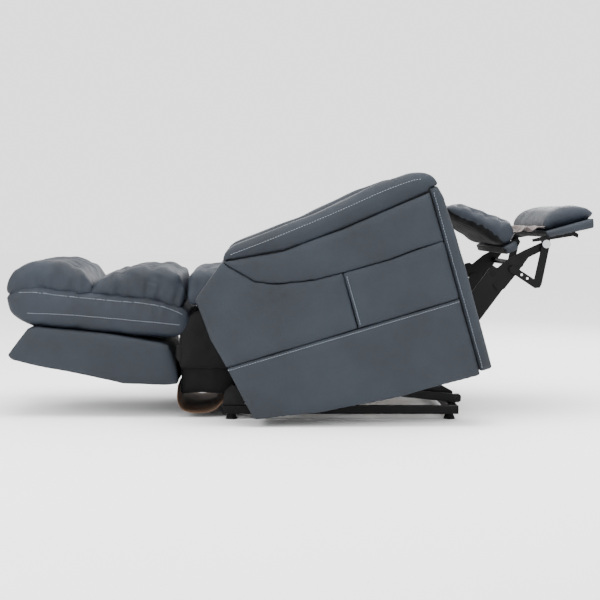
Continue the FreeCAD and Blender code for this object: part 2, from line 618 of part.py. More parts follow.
frame_window = [("arm_heel + 110", "arm_low + 110"), ("arm_front - 100", "arm_low + 90"),
                ("arm_front - 100", "saddle_low - 80"), ("arm_heel + 110", "saddle_low - 80")]
ARM_OUT = "(overall_width / 2)"
for side in ("left", "right"):
    def span(near, far):
        return (near, far) if side == "left" else (f"-({far})", f"-({near})")

    node(f"arm_side_panels_{side}", grouped(f"arm_side_panels_{side}", [
        slab(f"arm_outer_{side}", "seat", side_panel, *span(f"{ARM_OUT} - arm_wall", ARM_OUT)),
        slab(f"arm_inner_{side}", "seat", side_panel, *span(ARM_IN, f"{ARM_IN} + arm_wall"))]))
    wood_in, wood_out = f"{ARM_IN} + arm_wall", f"{ARM_OUT} - arm_wall"
    node(f"arm_frame_{side}", slab(
        f"arm_frame_{side}", "seat", frame_panel, *span(wood_in, wood_out),
        window=(frame_window, "0", f"({wood_out}) - ({wood_in})")))
    node(f"arm_saddle_{side}", slab(f"arm_saddle_{side}", "seat", saddle, *span(ARM_IN, ARM_OUT)))
    node(f"arm_cap_{side}", slab(f"arm_cap_{side}", "seat", cap, *span(ARM_IN, ARM_OUT)))
    node(f"arm_post_{side}", slab(f"arm_post_{side}", "seat", post, *span(ARM_IN, ARM_OUT)))

# ------------------------------------------------------------------------ back
BACK_PLATE_IN = layer(3)
back_plate = [("15", "-12"), ("15", "10"), ("8", "18"), ("-10", "18"), ("-60", "-6"),
              ("-245", "-158"), ("-300", "-168"), ("-300", "-210"), ("-288", "-226"), ("-234", "-226")]
hinge_pins = mirrored_bars("hinge_pin", "back", "0", "0", "10",
                           BACK_PLATE_IN, f"{OUTER_OUT} + 1")
hinge_plates = mirrored_slabs("hinge_plate", "back", back_plate,
                              BACK_PLATE_IN, f"{BACK_PLATE_IN} + plate")
node("back_hinge_plates", grouped("back_hinge_plates", [
    joined("back_hinge_left", [hinge_plates[0], hinge_pins[0]]),
    joined("back_hinge_right", [hinge_plates[1], hinge_pins[1]])]))
hinge_bar = bar_y("hinge_bar", "back", "0", "0", "hinge_tube",
                  f"-{BACK_PLATE_IN}", BACK_PLATE_IN)
recline_lever = slab("recline_lever", "back", [
    ("-10", "-4"), ("10", "-4"), ("26", "-88"), ("22", "-112"), ("6", "-118"),
    ("-12", "-112"), ("-16", "-90")],
    f"{RECLINE_SIDE} - lug_near - lug", f"{RECLINE_SIDE} - lug_near",
    [("5.8", "-95.9", "screw_pin + 7.5")])
node("back_hinge_tube", joined("back_hinge_tube", [hinge_bar, recline_lever]))

UNDER = [("back_head + 19", "-61"), ("back_head + 81", "20 - base_pad"), ("-346", "-18 - base_pad"),
         ("-262", "-20 - base_pad")]
SEAM = [("-264", "-45"), ("-366", "-12"), ("-568", "7"), ("-741", "26"), ("back_head + 11", "20")]
node("back_cushion_base", slab("back_cushion_base", "back",
                               [("back_head", "2")] + UNDER + [("-240", "-97")] + SEAM,
                               f"-{CUSHION_HALF}", CUSHION_HALF))
raised = [(x, f"{z} + 0.5") for x, z in SEAM]
node("back_cushion_head", slab("back_cushion_head", "back", [
    raised[4], raised[3], raised[2], ("-559", "33"), ("-620", "81"), ("-688", "93"),
    ("back_head + 86", "86"), ("back_head + 28", "59")], f"-{CUSHION_HALF}", CUSHION_HALF))
node("back_cushion_middle", slab("back_cushion_middle", "back", [
    ("-567", "7.5"), raised[1], ("-270", "-42"), ("-270", "57"), ("-322", "74"),
    ("-390", "74"), ("-466", "67"), ("-558", "33")], f"-{CUSHION_HALF}", CUSHION_HALF))
node("back_cushion_lower", slab("back_cushion_lower", "back", [
    ("-269", "-42"), ("-150", "-31"), ("-100", "-11"), ("-60", "11"), ("-60", "40"),
    ("-74", "62"), ("-120", "72"), ("-202", "69"), ("-269", "57")],
    f"-{CUSHION_HALF}", CUSHION_HALF))

SHELL_HALF = f"({ARM_IN} - 28)"
shell_top = [("back_head + 77", "8 - base_pad"), ("-741", "12 - base_pad"),
             ("-515", "-10 - base_pad"), ("-327", "-40 - base_pad")]
shell = [("back_head + 9", "-195"), ("back_head + 19", "-214"), ("-563", "-150 - base_pad"),
         ("-466", "-173 - base_pad"), ("-289", "-173 - base_pad"), ("-289", "-120 - base_pad")]
shell += list(reversed(shell_top))
hollow = [("back_head + 34", "-198"), ("-563", "-150 - base_pad + shell_wall"),
          ("-466", "-173 - base_pad + shell_wall"), ("-301", "-173 - base_pad + shell_wall"),
          ("-340", "-20 - base_pad"), ("-515", "10 - base_pad"), ("back_head + 90", "30 - base_pad")]
node("back_shell", slab("back_shell", "back", shell, f"-{SHELL_HALF}", SHELL_HALF,
                        window=(hollow, "shell_wall", f"2 * ({SHELL_HALF} - shell_wall)")))
STILE_OUT = f"({SHELL_HALF} - shell_wall - 2)"
stile = [("-750", "-52 - base_pad"), ("-380", "-90 - base_pad"), ("-352", "-90 - base_pad"),
         ("-352", "-49 - base_pad"), ("-750", "-14 - base_pad")]
stiles = mirrored_slabs("back_stile", "back", stile, f"{STILE_OUT} - 22", STILE_OUT)
slats = [slab(f"back_slat_{i}", "back",
              [(x, z), (f"{x} + 50", f"{z} - 4"), (f"{x} + 50", f"{z} + 14"), (x, f"{z} + 18")],
              f"-({STILE_OUT} - 22)", f"{STILE_OUT} - 22")
         for i, (x, z) in enumerate((("-740", "-44 - base_pad"), ("-560", "-60 - base_pad"),
                                     ("-390", "-76 - base_pad")))]
node("back_frame", grouped("back_frame", stiles + slats))
node("back_lower_cover", slab("back_lower_cover", "back", [
    ("-288", "-50 - base_pad"), ("-288", "-206 - base_pad"), ("-130", "-206 - base_pad"),
    ("-113", "-190 - base_pad"), ("-113", "-90 - base_pad"), ("-150", "-50 - base_pad")],
    f"-({BACK_PLATE_IN} - 4)", f"{BACK_PLATE_IN} - 4"))
FLAP_HALF = f"({ARM_IN} - 40)"
node("rear_flap", slab("rear_flap", "back", [
    ("-296", "-174 - base_pad"), ("-298", "-340"), ("-280", "-374"), ("-230", "-384"),
    ("-180", "-374"), ("-150", "-346"), ("-154", "-343"), ("-183", "-370"),
    ("-230", "-379"), ("-276", "-370"), ("-294", "-339"), ("-292", "-174 - base_pad")],
    f"-{FLAP_HALF}", FLAP_HALF))

# -------------------------------------------------------------------- footrest
drive = ("drive_x", "drive_z")
knee = ("knee_x", "knee_z")
knee_pair = ("knee_x + pair_x", "knee_z + pair_z")
ankle = ("ankle_x", "ankle_z")
LINK_A, LINK_B, LINK_C, LEVER, BRACKET = layer(1), layer(2), layer(3), layer(4), layer(5)


def out_of(inner):
    return f"({inner} + plate)"


lower_links = mirrored_slabs("lower_link", "seat", link_outline(*drive, *knee, "link_half"),
                             LINK_A, out_of(LINK_A))
drive_pins = mirrored_bars("drive_pin", "seat", *drive, "pin", f"{layer(0)} - 12", out_of(LINK_A))
knee_pins = mirrored_bars("knee_pin", "seat", *knee, "pin", LINK_A, f"{out_of(LINK_B)} + 1")
node("footrest_lower_links", grouped("footrest_lower_links", [
    joined("lower_link_left", [lower_links[0], drive_pins[0], knee_pins[0]]),
    joined("lower_link_right", [lower_links[1], drive_pins[1], knee_pins[1]])]))
CRANK_X = "(drive_x + crank * cos(crank_rest * 1 deg))"
CRANK_Z = "(drive_z + crank * sin(crank_rest * 1 deg))"
drive_tube_bar = bar_y("drive_tube_bar", "seat", *drive, "drive_tube",
                       f"-{layer(0)} + 2", f"{layer(0)} - 2")
drive_bore = bar_y("drive_bore", "seat", *drive, "pin", f"-{layer(0)}", layer(0))
drive_tube = doc.addObject("Part::Cut", "drive_tube_cut")
drive_tube.Base = drive_tube_bar
drive_tube.Tool = drive_bore
crank_arm = slab("crank_arm", "seat", capsule(
    "(drive_x + 14 * cos(crank_rest * 1 deg))", "(drive_z + 14 * sin(crank_rest * 1 deg))",
    CRANK_X, CRANK_Z, "9", "crank_rest"), f"{DRIVE_SIDE} - 13", f"{DRIVE_SIDE} - 7")
crank_pin = bar_y("crank_pin", "seat", CRANK_X, CRANK_Z, "5",
                  f"{DRIVE_SIDE} - 13", f"{DRIVE_SIDE} + 6")
node("footrest_drive_tube", joined("footrest_drive_tube", [drive_tube, crank_arm, crank_pin]))

upper_links = mirrored_slabs(
    "upper_link", "seat", link_outline(*pair_pivot, *knee_pair, "link_half"),
    LINK_C, out_of(LINK_C), [(*knee_pair, "pin - 1 + open_gap")])
pair_pins = mirrored_bars("pair_pin", "seat", *pair_pivot, "pin", LINK_C, f"{OUTER_OUT} + 1")
node("footrest_upper_links", grouped("footrest_upper_links", [
    joined("upper_link_left", [upper_links[0], pair_pins[0]]),
    joined("upper_link_right", [upper_links[1], pair_pins[1]])]))

front_outline = [
    ("knee_x - 17", "knee_z + 8"), ("knee_x - 10", "knee_z - 16"), ("knee_x + 12", "knee_z - 17"),
    ("ankle_x - 112", "ankle_z - 66"), ("ankle_x - 62", "ankle_z - 27"),
    ("ankle_x + 6", "ankle_z - 14"), ("ankle_x + 14", "ankle_z - 4"),
    ("ankle_x + 10", "ankle_z + 11"), ("ankle_x - 72", "ankle_z - 2"),
    ("ankle_x - 124", "ankle_z - 14"), ("knee_x + pair_x + 16", "knee_z + pair_z + 12"),
    ("knee_x + pair_x - 12", "knee_z + pair_z + 15")]
front_links = mirrored_slabs("front_link", "seat", front_outline, LINK_B, out_of(LINK_B),
                             [(*knee, "pin + run_gap")])
ankle_pins = mirrored_bars("ankle_pin", "seat", *ankle, "pin", LINK_B, f"{out_of(BRACKET)} + 1")
slack_pins = mirrored_bars("slack_pin", "seat", *knee_pair, "pin - 1",
                           LINK_B, f"{out_of(LINK_C)} + 1")
CROSS = ("ankle_x - 92", "ankle_z - 42")
ankle_bar = bar_y("ankle_bar", "seat", *CROSS, "9", f"-{LINK_B}", LINK_B)
node("footrest_front_links", joined("footrest_front_links", front_links + ankle_pins
                                    + slack_pins + [ankle_bar]))
lever_outline = [
    ("ankle_x + 12", "ankle_z + 4"), ("ankle_x - 4", "ankle_z + 13"), ("ankle_x - 14", "ankle_z"),
    ("ankle_x - 66", "ankle_z - 97"), ("ankle_x - 118", "ankle_z - 38"),
    ("ankle_x - 132", "ankle_z - 40"), ("ankle_x - 133", "ankle_z - 54"),
    ("ankle_x - 72", "ankle_z - 125"), ("ankle_x - 56", "ankle_z - 128"),
    ("ankle_x - 47", "ankle_z - 118"), ("ankle_x + 10", "ankle_z - 8")]
lever_holes = [(*ankle, "pin"), ("ankle_x - 100", "ankle_z - 73", "4"),
               ("ankle_x - 86", "ankle_z - 89", "4")]
node("footrest_levers", grouped("footrest_levers", mirrored_slabs(
    "footrest_lever", "seat", lever_outline, LEVER, out_of(LEVER), lever_holes)))
node("footrest_pivot_caps", grouped("footrest_pivot_caps", mirrored_bars(
    "pivot_cap", "seat", *ankle, "pin + 6", f"{out_of(BRACKET)} + 1", f"{out_of(BRACKET)} + 3")))

bracket_outline = [
    ("ankle_x - 40", "ankle_z + 18"), ("ankle_x - 14", "ankle_z + 14"),
    ("ankle_x - 12", "ankle_z - 8"), ("ankle_x", "ankle_z - 14"), ("ankle_x + 12", "ankle_z - 8"),
    ("ankle_x + 14", "ankle_z + 10"), ("ankle_x + 88", "ankle_z + 2"),
    ("ankle_x + 101", "ankle_z - 8"), ("ankle_x + 106", "ankle_z + 4"),
    ("ankle_x + 96", "ankle_z + 14"), ("ankle_x + 4", "ankle_z + 26"),
    ("ankle_x - 40", "ankle_z + 27")]
bracket_plates = mirrored_slabs("pad_bracket", "seat", bracket_outline, BRACKET,
                                out_of(BRACKET), [(*ankle, "pin + run_gap")])
PAD_LOW = "ankle_z + pad_low"
flange_outline = [("ankle_x + 10", "ankle_z + 25"), ("ankle_x + 60", "ankle_z + 18"),
                  ("ankle_x + 60", PAD_LOW), ("ankle_x + 10", PAD_LOW)]
flanges = mirrored_slabs("pad_flange", "seat", flange_outline, f"{LEVER} - 24", out_of(BRACKET))
node("footrest_pad_brackets", grouped("footrest_pad_brackets", [
    joined("pad_bracket_left", [bracket_plates[0], flanges[0]]),
    joined("pad_bracket_right", [bracket_plates[1], flanges[1]])]))
BOARD_TOP = f"{PAD_LOW} + pad_board"
node("footrest_board", slab("footrest_board", "seat", box_outline(
    "ankle_x + 1", "ankle_x + pad_long - 6", PAD_LOW, BOARD_TOP),
    f"-{CUSHION_HALF} + 8", f"{CUSHION_HALF} - 8"))
node("footrest_pad", slab("footrest_pad", "seat", [
    ("ankle_x - 1", f"{BOARD_TOP} + 0.5"), ("ankle_x + pad_long - 1", f"{BOARD_TOP} + 0.5"),
    ("ankle_x + pad_long - 1", "ankle_z + pad_top - 19"),
    ("ankle_x + pad_long - 22", "ankle_z + pad_top - 7"), ("ankle_x + 90", "ankle_z + pad_top + 3"),
    ("ankle_x + 24", "ankle_z + pad_top"), ("ankle_x - 1", "ankle_z + pad_top - 12")],
    f"-{CUSHION_HALF}", CUSHION_HALF))
node("chaise_pad", slab("chaise_pad", "seat", [
    ("seat_front + 7", "seat_top - 4"), ("seat_front + 20", "seat_top"),
    ("seat_front + 34", "seat_top - 4"), ("ankle_x - 100", "ankle_z + pad_top + 40"),
    ("ankle_x - 88", "ankle_z + pad_top + 26"), ("ankle_x - 90", "ankle_z + pad_top + 4"),
    ("ankle_x - 102", "ankle_z + pad_low + 24"), ("ankle_x - 126", "ankle_z + pad_low + 20"),
    ("seat_front + 64", "seat_top - 26"),
    ("seat_front + 7", "seat_top - 9")], f"-{CUSHION_HALF}", CUSHION_HALF))

# The drive screw of the footrest pushes a slotted yoke over the crank pin.
YOKE_HALF = "(5 + 7.6)"
yoke = slab("yoke", "seat", [
    (f"{CRANK_X} - {YOKE_HALF} - 9", f"{CRANK_Z} - 10.5"),
    (f"{CRANK_X} + {YOKE_HALF} + 9", f"{CRANK_Z} - 10.5"),
    (f"{CRANK_X} + {YOKE_HALF} + 9", "drive_z + crank + 16"),
    (f"{CRANK_X} - {YOKE_HALF} - 9", "drive_z + crank + 16")],
    f"{DRIVE_SIDE} - 4", f"{DRIVE_SIDE} + 4",
    window=([(f"{CRANK_X} - {YOKE_HALF}", f"{CRANK_Z} - 6"),
             (f"{CRANK_X} + {YOKE_HALF}", f"{CRANK_Z} - 6"),
             (f"{CRANK_X} + {YOKE_HALF}", "drive_z + crank + 7"),
             (f"{CRANK_X} - {YOKE_HALF}", "drive_z + crank + 7")], "0", "8"))


def bar_x(name, z, radius, start, end):
    """A round bar along the seat's own X."""
    bar = doc.addObject("Part::Cylinder", name)
    bar.Placement = FreeCAD.Placement(
        FreeCAD.Vector(), FreeCAD.Rotation(FreeCAD.Vector(0, 1, 0), 90))
    bar.setExpression("Radius", bound(radius))
    bar.setExpression("Height", bound(f"({end}) - ({start})"))
    carrier = doc.addObject("Part::Compound", name + "_along")
    carrier.Links = [bar]
    put(carrier, "seat", DRIVE_SIDE, (start, z))
    return carrier


yoke_rod = bar_x("yoke_rod", SCREW_Z, "screw_rod", "320", f"{CRANK_X} - {YOKE_HALF} - 2")
node("footrest_actuator_rod", joined("footrest_actuator_rod", [yoke, yoke_rod]))
drive_tube_long = bar_x("drive_case", SCREW_Z, "screw_tube", "121", "360")
drive_case_bore = bar_x("drive_case_bore", SCREW_Z, "screw_rod + run_gap", "200", "361")
drive_case = doc.addObject("Part::Cut", "footrest_actuator_body")
drive_case.Base = drive_tube_long
drive_case.Tool = drive_case_bore
node("footrest_actuator_body", drive_case)

# ---------------------------------------------------------- check and write out
doc.recompute()
broken = [item.Name for item in doc.Objects
          if "Invalid" in item.State or "Error" in item.State]
if broken:
    raise SystemExit(f"failed to build: {broken}")
for piece in NODES:
    if piece.Shape.isNull() or not piece.Shape.isValid() or not piece.Shape.Solids:
        raise SystemExit(f"{piece.Label} has no valid solid")
for piece in NODES:
    piece.Shape.exportStep(f"parts/{piece.Label}.step")
box = Part.makeCompound([piece.Shape for piece in NODES]).BoundBox
print(len(NODES), "nodes", f"{box.XLength:.0f} x {box.YLength:.0f} x {box.ZLength:.0f}",
      f"X {box.XMin:.1f} {box.XMax:.1f} Z {box.ZMin:.1f} {box.ZMax:.1f}")
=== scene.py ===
# %% [markdown]
# # A lift recliner, laid flat
# The chair is a steel lifting base, a seat box with two upholstered arms, a back that folds
# down behind, and a footrest on folding links. The frame below brings in every metal and
# timber part at its real size. What is made here is the upholstery, its stitching and the
# finishes. The frame comes first because every cover takes its place from it.

# %% Load the frame
import json
import math

import bpy
import numpy as np
from mathutils import Matrix, Vector


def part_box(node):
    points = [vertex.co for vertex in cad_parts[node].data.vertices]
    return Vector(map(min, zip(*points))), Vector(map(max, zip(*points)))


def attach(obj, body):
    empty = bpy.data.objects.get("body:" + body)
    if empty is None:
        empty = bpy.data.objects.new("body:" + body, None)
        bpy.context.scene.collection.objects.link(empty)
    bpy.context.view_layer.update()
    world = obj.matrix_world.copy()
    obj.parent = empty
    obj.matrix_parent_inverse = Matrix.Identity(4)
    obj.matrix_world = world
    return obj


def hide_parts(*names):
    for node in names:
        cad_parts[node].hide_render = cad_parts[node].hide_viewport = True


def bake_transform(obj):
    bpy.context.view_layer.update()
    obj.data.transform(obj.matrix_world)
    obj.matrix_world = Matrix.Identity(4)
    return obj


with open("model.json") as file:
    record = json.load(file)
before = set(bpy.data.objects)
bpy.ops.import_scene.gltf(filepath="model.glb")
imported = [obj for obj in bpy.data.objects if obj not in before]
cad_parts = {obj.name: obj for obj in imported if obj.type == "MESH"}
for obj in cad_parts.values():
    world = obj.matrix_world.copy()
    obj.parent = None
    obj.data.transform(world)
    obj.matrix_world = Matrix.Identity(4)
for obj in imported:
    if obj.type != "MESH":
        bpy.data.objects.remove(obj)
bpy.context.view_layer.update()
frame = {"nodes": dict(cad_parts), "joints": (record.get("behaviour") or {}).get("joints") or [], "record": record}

nodes = frame["nodes"]
joints = {joint["name"]: joint for joint in frame["joints"]}
MM = 0.001

# %% [markdown]
# ## Two rulers
# An upholsterer measures a seat along the seat, not along the floor. The seat frame starts at
# the tilt pivot and leans by the tilt joint's travel, and the back frame starts at the recline
# pivot. A point in either ruler is turned into the room's own coordinates here, once.

# %% The seat ruler and the back ruler
TILT = math.radians(joints["seat_tilt"]["range_deg"][1])
seat_home = Vector(joints["seat_tilt"]["pos_m"])
back_home = Vector(joints["recline"]["pos_m"])


def seat(x, z):
    """A seat-frame point in millimetres, as room x and z in metres."""
    return (seat_home.x + (x * math.cos(TILT) - z * math.sin(TILT)) * MM,
            seat_home.z + (x * math.sin(TILT) + z * math.cos(TILT)) * MM)


def back(x, z):
    """A back-frame point in millimetres, as room x and z in metres."""
    return back_home.x + x * MM, back_home.z + z * MM


ARM_IN, ARM_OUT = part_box("arm_cap_left")[0].y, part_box("arm_cap_left")[1].y
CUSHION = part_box("seat_cushion")[1].y
print("arm from", round(ARM_IN, 3), "to", round(ARM_OUT, 3), "cushion half", round(CUSHION, 3))

# %% [markdown]
# ## Writing materials as sums
# A material is a small calculation. Wrapping each socket lets the calculation be written as
# ordinary Python, so a line such as grain * 0.4 + dust reads the way one would say it.

# %% The paint box
class Wire:
    """One socket that can be added to, multiplied and so on."""

    def __init__(self, paint, socket):
        self.paint, self.socket = paint, socket

    def __add__(self, other):
        return self.paint.sum("ADD", self, other)

    def __radd__(self, other):
        return self.paint.sum("ADD", other, self)

    def __sub__(self, other):
        return self.paint.sum("SUBTRACT", self, other)

    def __rsub__(self, other):
        return self.paint.sum("SUBTRACT", other, self)

    def __mul__(self, other):
        return self.paint.sum("MULTIPLY", self, other)

    def __rmul__(self, other):
        return self.paint.sum("MULTIPLY", other, self)


class Paint:
    """A new material with its shader, and one method that makes any node."""

    def __init__(self, name, **constants):
        self.material = bpy.data.materials.new(name)
        self.material.use_nodes = True
        self.tree = self.material.node_tree
        self.shader = self.tree.nodes["Principled BSDF"]
        for socket, value in constants.items():
            self.shader.inputs[socket.replace("_", " ")].default_value = value
        self.place = self.node("TexCoord", out="Object")

    def node(self, kind, out=0, settings=None, **values):
        made = self.tree.nodes.new("ShaderNode" + kind)
        for key, value in (settings or {}).items():
            setattr(made, key, value)
        for key, value in values.items():
            which = int(key[1:]) if key[1:].isdigit() else key.replace("_", " ")
            self.feed(made.inputs[which], value)
        return Wire(self, made.outputs[out])

    def feed(self, socket, value):
        if isinstance(value, Wire):
            self.tree.links.new(value.socket, socket)
        else:
            socket.default_value = value

    def sum(self, operation, first, second):
        return self.node("Math", settings={"operation": operation}, i0=first, i1=second)

    def noise(self, scale, detail=3.0, rough=0.55, place=None):
        return self.node("TexNoise", out="Fac", Vector=place or self.place, Scale=scale,
                         Detail=detail, Roughness=rough)

    def between(self, factor, low, high):
        """Spreads the stretch from low to high over 0 to 1."""
        return self.node("MapRange", settings={"interpolation_type": "SMOOTHSTEP"},
                         Value=factor, From_Min=low, From_Max=high)

    def mix(self, factor, first, second):
        """Blends two colours; a Mix node keeps its colour sockets at 6, 7 and out 2."""
        return self.node("Mix", out=2, settings={"data_type": "RGBA"}, i0=factor, i6=first, i7=second)

    def bump(self, height, strength, distance):
        return self.node("Bump", Height=height, Strength=strength, Distance=distance)

    def wear(self, colour, rough=None, normal=None):
        """Puts the results on the shader and gives back the finished material."""
        for socket, value in (("Base Color", colour), ("Roughness", rough), ("Normal", normal)):
            if value is not None:
                self.feed(self.shader.inputs[socket], value)
        return self.material


def shade(red, green, blue):
    """A screen colour, 0 to 255, as the linear colour a shader takes."""
    return tuple(((c / 255 + 0.055) / 1.055) ** 2.4 if c > 10 else c / 255 / 12.92
                 for c in (red, green, blue)) + (1.0,)


print("paint box ready, mid grey is", round(shade(128, 128, 128)[0], 3))

# %% [markdown]
# ## Leather
# The hide is a slate blue with a slow change of tone from one part of the skin to another, and
# a pebble grain of about one and a half millimetres. A Voronoi pattern makes the pebbles, and
# the creases between them are darker and duller than their tops. The grain goes to the bump,
# because a pebble a tenth of a millimetre high is too fine to model.

# %% Leather
def leather(name, deep, middle, pale, gloss, grain=620.0):
    paint = Paint(name, Specular_IOR_Level=0.30)
    cells = paint.node("TexVoronoi", out="Distance", settings={"feature": "DISTANCE_TO_EDGE"},
                       Vector=paint.place, Scale=grain)
    pebble = paint.between(cells, 0.0, 0.22)
    tone = paint.between(paint.noise(5.5, 4.0), 0.2, 0.8)
    mottle = paint.between(paint.noise(48.0, 5.0), 0.25, 0.75)
    colour = paint.mix(tone * 0.7 + mottle * 0.3, deep, pale)
    colour = paint.mix(pebble * 0.35 + 0.65, deep, colour)
    colour = paint.mix(mottle * 0.45, colour, middle)
    rough = gloss + mottle * 0.10 + (1 - pebble) * 0.14
    creases = paint.noise(26.0, 6.0, 0.62)
    height = pebble * 0.55 + paint.noise(190.0, 4.0) * 0.5 + creases * 1.3
    return paint.wear(colour, rough, normal=paint.bump(height, 0.42, 0.0016))


HIDE = leather("slate_hide", shade(13, 17, 23), shade(22, 28, 36), shade(33, 41, 51), 0.46)
SOFT_HIDE = leather("slate_hide_soft", shade(11, 15, 21), shade(21, 27, 36), shade(35, 43, 55), 0.38)
WORN_HIDE = leather("hide_flesh_side", shade(64, 46, 34), shade(96, 73, 54), shade(122, 96, 75),
                    0.74, grain=380.0)
print("leathers", HIDE.name, SOFT_HIDE.name, WORN_HIDE.name)

# %% [markdown]
# ## Thread, cloth and metal
# Thread is a pale grey twist. The dust cover under the back is a black non-woven cloth, whose
# weave is two crossed waves. The frame is black powder coat, which has an orange-peel skin and
# goes a little shiny where it is rubbed, and the pins and rods are zinc and bare steel.

# %% Thread, cloth, metal, rubber, plastic and timber
def thread():
    paint = Paint("pale_thread", Sheen_Weight=0.3)
    twist = paint.noise(900.0, 2.0)
    return paint.wear(paint.mix(twist, shade(96, 103, 113), shade(140, 147, 156)), twist * 0.2 + 0.6)


def cloth(name, dark, light, weave=700.0):
    paint = Paint(name, Sheen_Weight=0.02, Specular_IOR_Level=0.2)
    warp = paint.node("TexWave", out="Fac", settings={"bands_direction": "X"},
                      Vector=paint.place, Scale=weave, Distortion=1.5)
    weft = paint.node("TexWave", out="Fac", settings={"bands_direction": "Z"},
                      Vector=paint.place, Scale=weave, Distortion=1.5)
    blotch = paint.between(paint.noise(22.0, 5.0), 0.35, 0.7)
    colour = paint.mix(blotch * 0.6 + warp * weft * 0.4, dark, light)
    threads = paint.bump(warp * 0.5 + weft * 0.5, 0.3, 0.0006)
    return paint.wear(colour, blotch * 0.12 + 0.78, normal=threads)


def coated(name, dark, light, rough, peel=420.0):
    paint = Paint(name, Specular_IOR_Level=0.14)
    skin = paint.noise(peel, 2.0)
    rubbed = paint.between(paint.noise(16.0, 5.0), 0.52, 0.74)
    return paint.wear(paint.mix(rubbed, dark, light), rough - rubbed * 0.12 + skin * 0.08,
                      normal=paint.bump(skin, 0.22, 0.0005))


def steel(name, dark, light, rough):
    paint = Paint(name, Metallic=1.0)
    drawn = paint.noise(240.0, 4.0)
    return paint.wear(paint.mix(drawn, dark, light), drawn * 0.16 + rough,
                      normal=paint.bump(drawn, 0.12, 0.0003))


def timber():
    paint = Paint("birch_frame")
    stretch = paint.node("Mapping", out="Vector", Vector=paint.place, Scale=(6.0, 60.0, 60.0))
    rings = paint.noise(2.4, 5.0, 0.6, stretch)
    return paint.wear(paint.mix(rings, shade(168, 134, 92), shade(206, 176, 132)), rings * 0.2 + 0.55,
                      normal=paint.bump(rings, 0.2, 0.0008))


THREAD = thread()
BLACK_CLOTH = cloth("black_dust_cloth", shade(3, 3, 4), shade(12, 12, 14))
BRIDGE_CLOTH = cloth("grey_brown_lining", shade(56, 50, 48), shade(118, 108, 106), 520.0)
POWDER = coated("black_powder_coat", shade(3, 3, 4), shade(12, 12, 14), 0.40)
PLASTIC = coated("black_plastic", shade(6, 6, 7), shade(14, 14, 16), 0.5, 260.0)
RUBBER = coated("black_rubber", shade(5, 5, 6), shade(14, 14, 14), 0.76, 180.0)
ZINC = steel("zinc_plate", shade(158, 160, 162), shade(206, 208, 210), 0.28)
BRIGHT = steel("bright_steel", shade(170, 172, 175), shade(222, 224, 226), 0.18)
TIMBER = timber()
print("materials so far", len(bpy.data.materials))

# %% [markdown]
# ## Finishes for the frame's own parts
# Each metal part keeps its shape, so it only needs the right finish. The record names a
# material slot for every node, and one table turns a slot into a finish.

# %% Dress the frame's parts
FINISHES = {"leather": HIDE, "timber": TIMBER, "black_cloth": BLACK_CLOTH, "rubber": RUBBER,
            "zinc": ZINC, "bright_steel": BRIGHT, "black_plastic": PLASTIC, "black_metal": POWDER}
for part in frame["record"]["subparts"]:
    worn = nodes[part["node"]].data.materials
    worn.clear()
    worn.append(FINISHES[part["material_slot"]])

# %% [markdown]
# ## Cutting a cover
# Every cushion starts as a side view: a chain of points drawn by extruding one vertex, closed
# into a face and pulled sideways. Curved stretches pass smoothly through a few points, so the
# outline needs only the points that give it its shape.

# %% Outline tools
def deselect():
    for thing in bpy.context.selected_objects:
        thing.select_set(False)


def choose(piece):
    deselect()
    piece.select_set(True)
    bpy.context.view_layer.objects.active = piece


def smooth_through(points, steps=4, closed=True):
    """Catmull-Rom points through the given ones."""
    count = len(points)
    found = []
    for i in range(count if closed else count - 1):
        around = [(i + k) % count if closed else min(max(i + k, 0), count - 1) for k in (-1, 0, 1, 2)]
        a, b, c, d = (Vector(points[number]) for number in around)
        for k in range(steps):
            t = k / steps
            found.append(0.5 * (2 * b + (c - a) * t + (2 * a - 5 * b + 4 * c - d) * t ** 2
                                + (3 * b - a - 3 * c + d) * t ** 3))
    if not closed:
        found.append(Vector(points[-1]))
    return found


def slab(name, outline, near, far):
    """A closed slab: the outline is in room x and z, and it runs from y near to y far."""
    deselect()
    start = outline[0]
    bpy.ops.mesh.primitive_plane_add(size=0.001, location=(start[0], near, start[1]))
    piece = bpy.context.object
    piece.name = name
    bpy.ops.object.mode_set(mode="EDIT")
    bpy.ops.mesh.select_all(action="SELECT")
    bpy.ops.mesh.merge(type="CENTER")
    for here, there in zip(outline, outline[1:]):
        step = (there[0] - here[0], 0, there[1] - here[1])
        bpy.ops.mesh.extrude_region_move(TRANSFORM_OT_translate={"value": step})
    bpy.ops.mesh.select_all(action="SELECT")
    bpy.ops.mesh.edge_face_add()
    bpy.ops.mesh.extrude_region_move(TRANSFORM_OT_translate={"value": (0, far - near, 0)})
    bpy.ops.mesh.select_all(action="SELECT")
    bpy.ops.mesh.normals_make_consistent(inside=False)
    bpy.ops.object.mode_set(mode="OBJECT")
    bpy.ops.object.transform_apply(location=True, rotation=True, scale=True)
    return piece


def finish_modifier(piece, kind, **settings):
    """Adds one modifier and applies it at once."""
    choose(piece)
    modifier = piece.modifiers.new(kind.title(), kind)
    for key, value in settings.items():
        setattr(modifier, key, value)
    bpy.ops.object.modifier_apply(modifier=modifier.name)


def smoothed(piece):
    choose(piece)
    bpy.ops.object.shade_smooth_by_angle(angle=math.radians(50))
    return piece


print("outline tools: smooth_through, slab, finish_modifier, smoothed")

# %% [markdown]
# ## Filling a cover
# Foam pushes leather outwards most in the middle of a panel and not at all at its seams. For
# a cushion Blender's cloth does this: the cover is a cloth with air pressure inside and no
# gravity, and no point may travel further than the foam would push it. A tight panel on an arm
# needs less, so its faces are only drawn in near their edges. Creases come last.

# %% Filling tools
FOAM_PRESSURE = 4.0
FOAM_FRAMES = 20
FAR_OFF = 1e9
TINY = 1e-9


def points_of(piece):
    found = np.empty(len(piece.data.vertices) * 3)
    piece.data.vertices.foreach_get("co", found)
    return found.reshape(-1, 3)


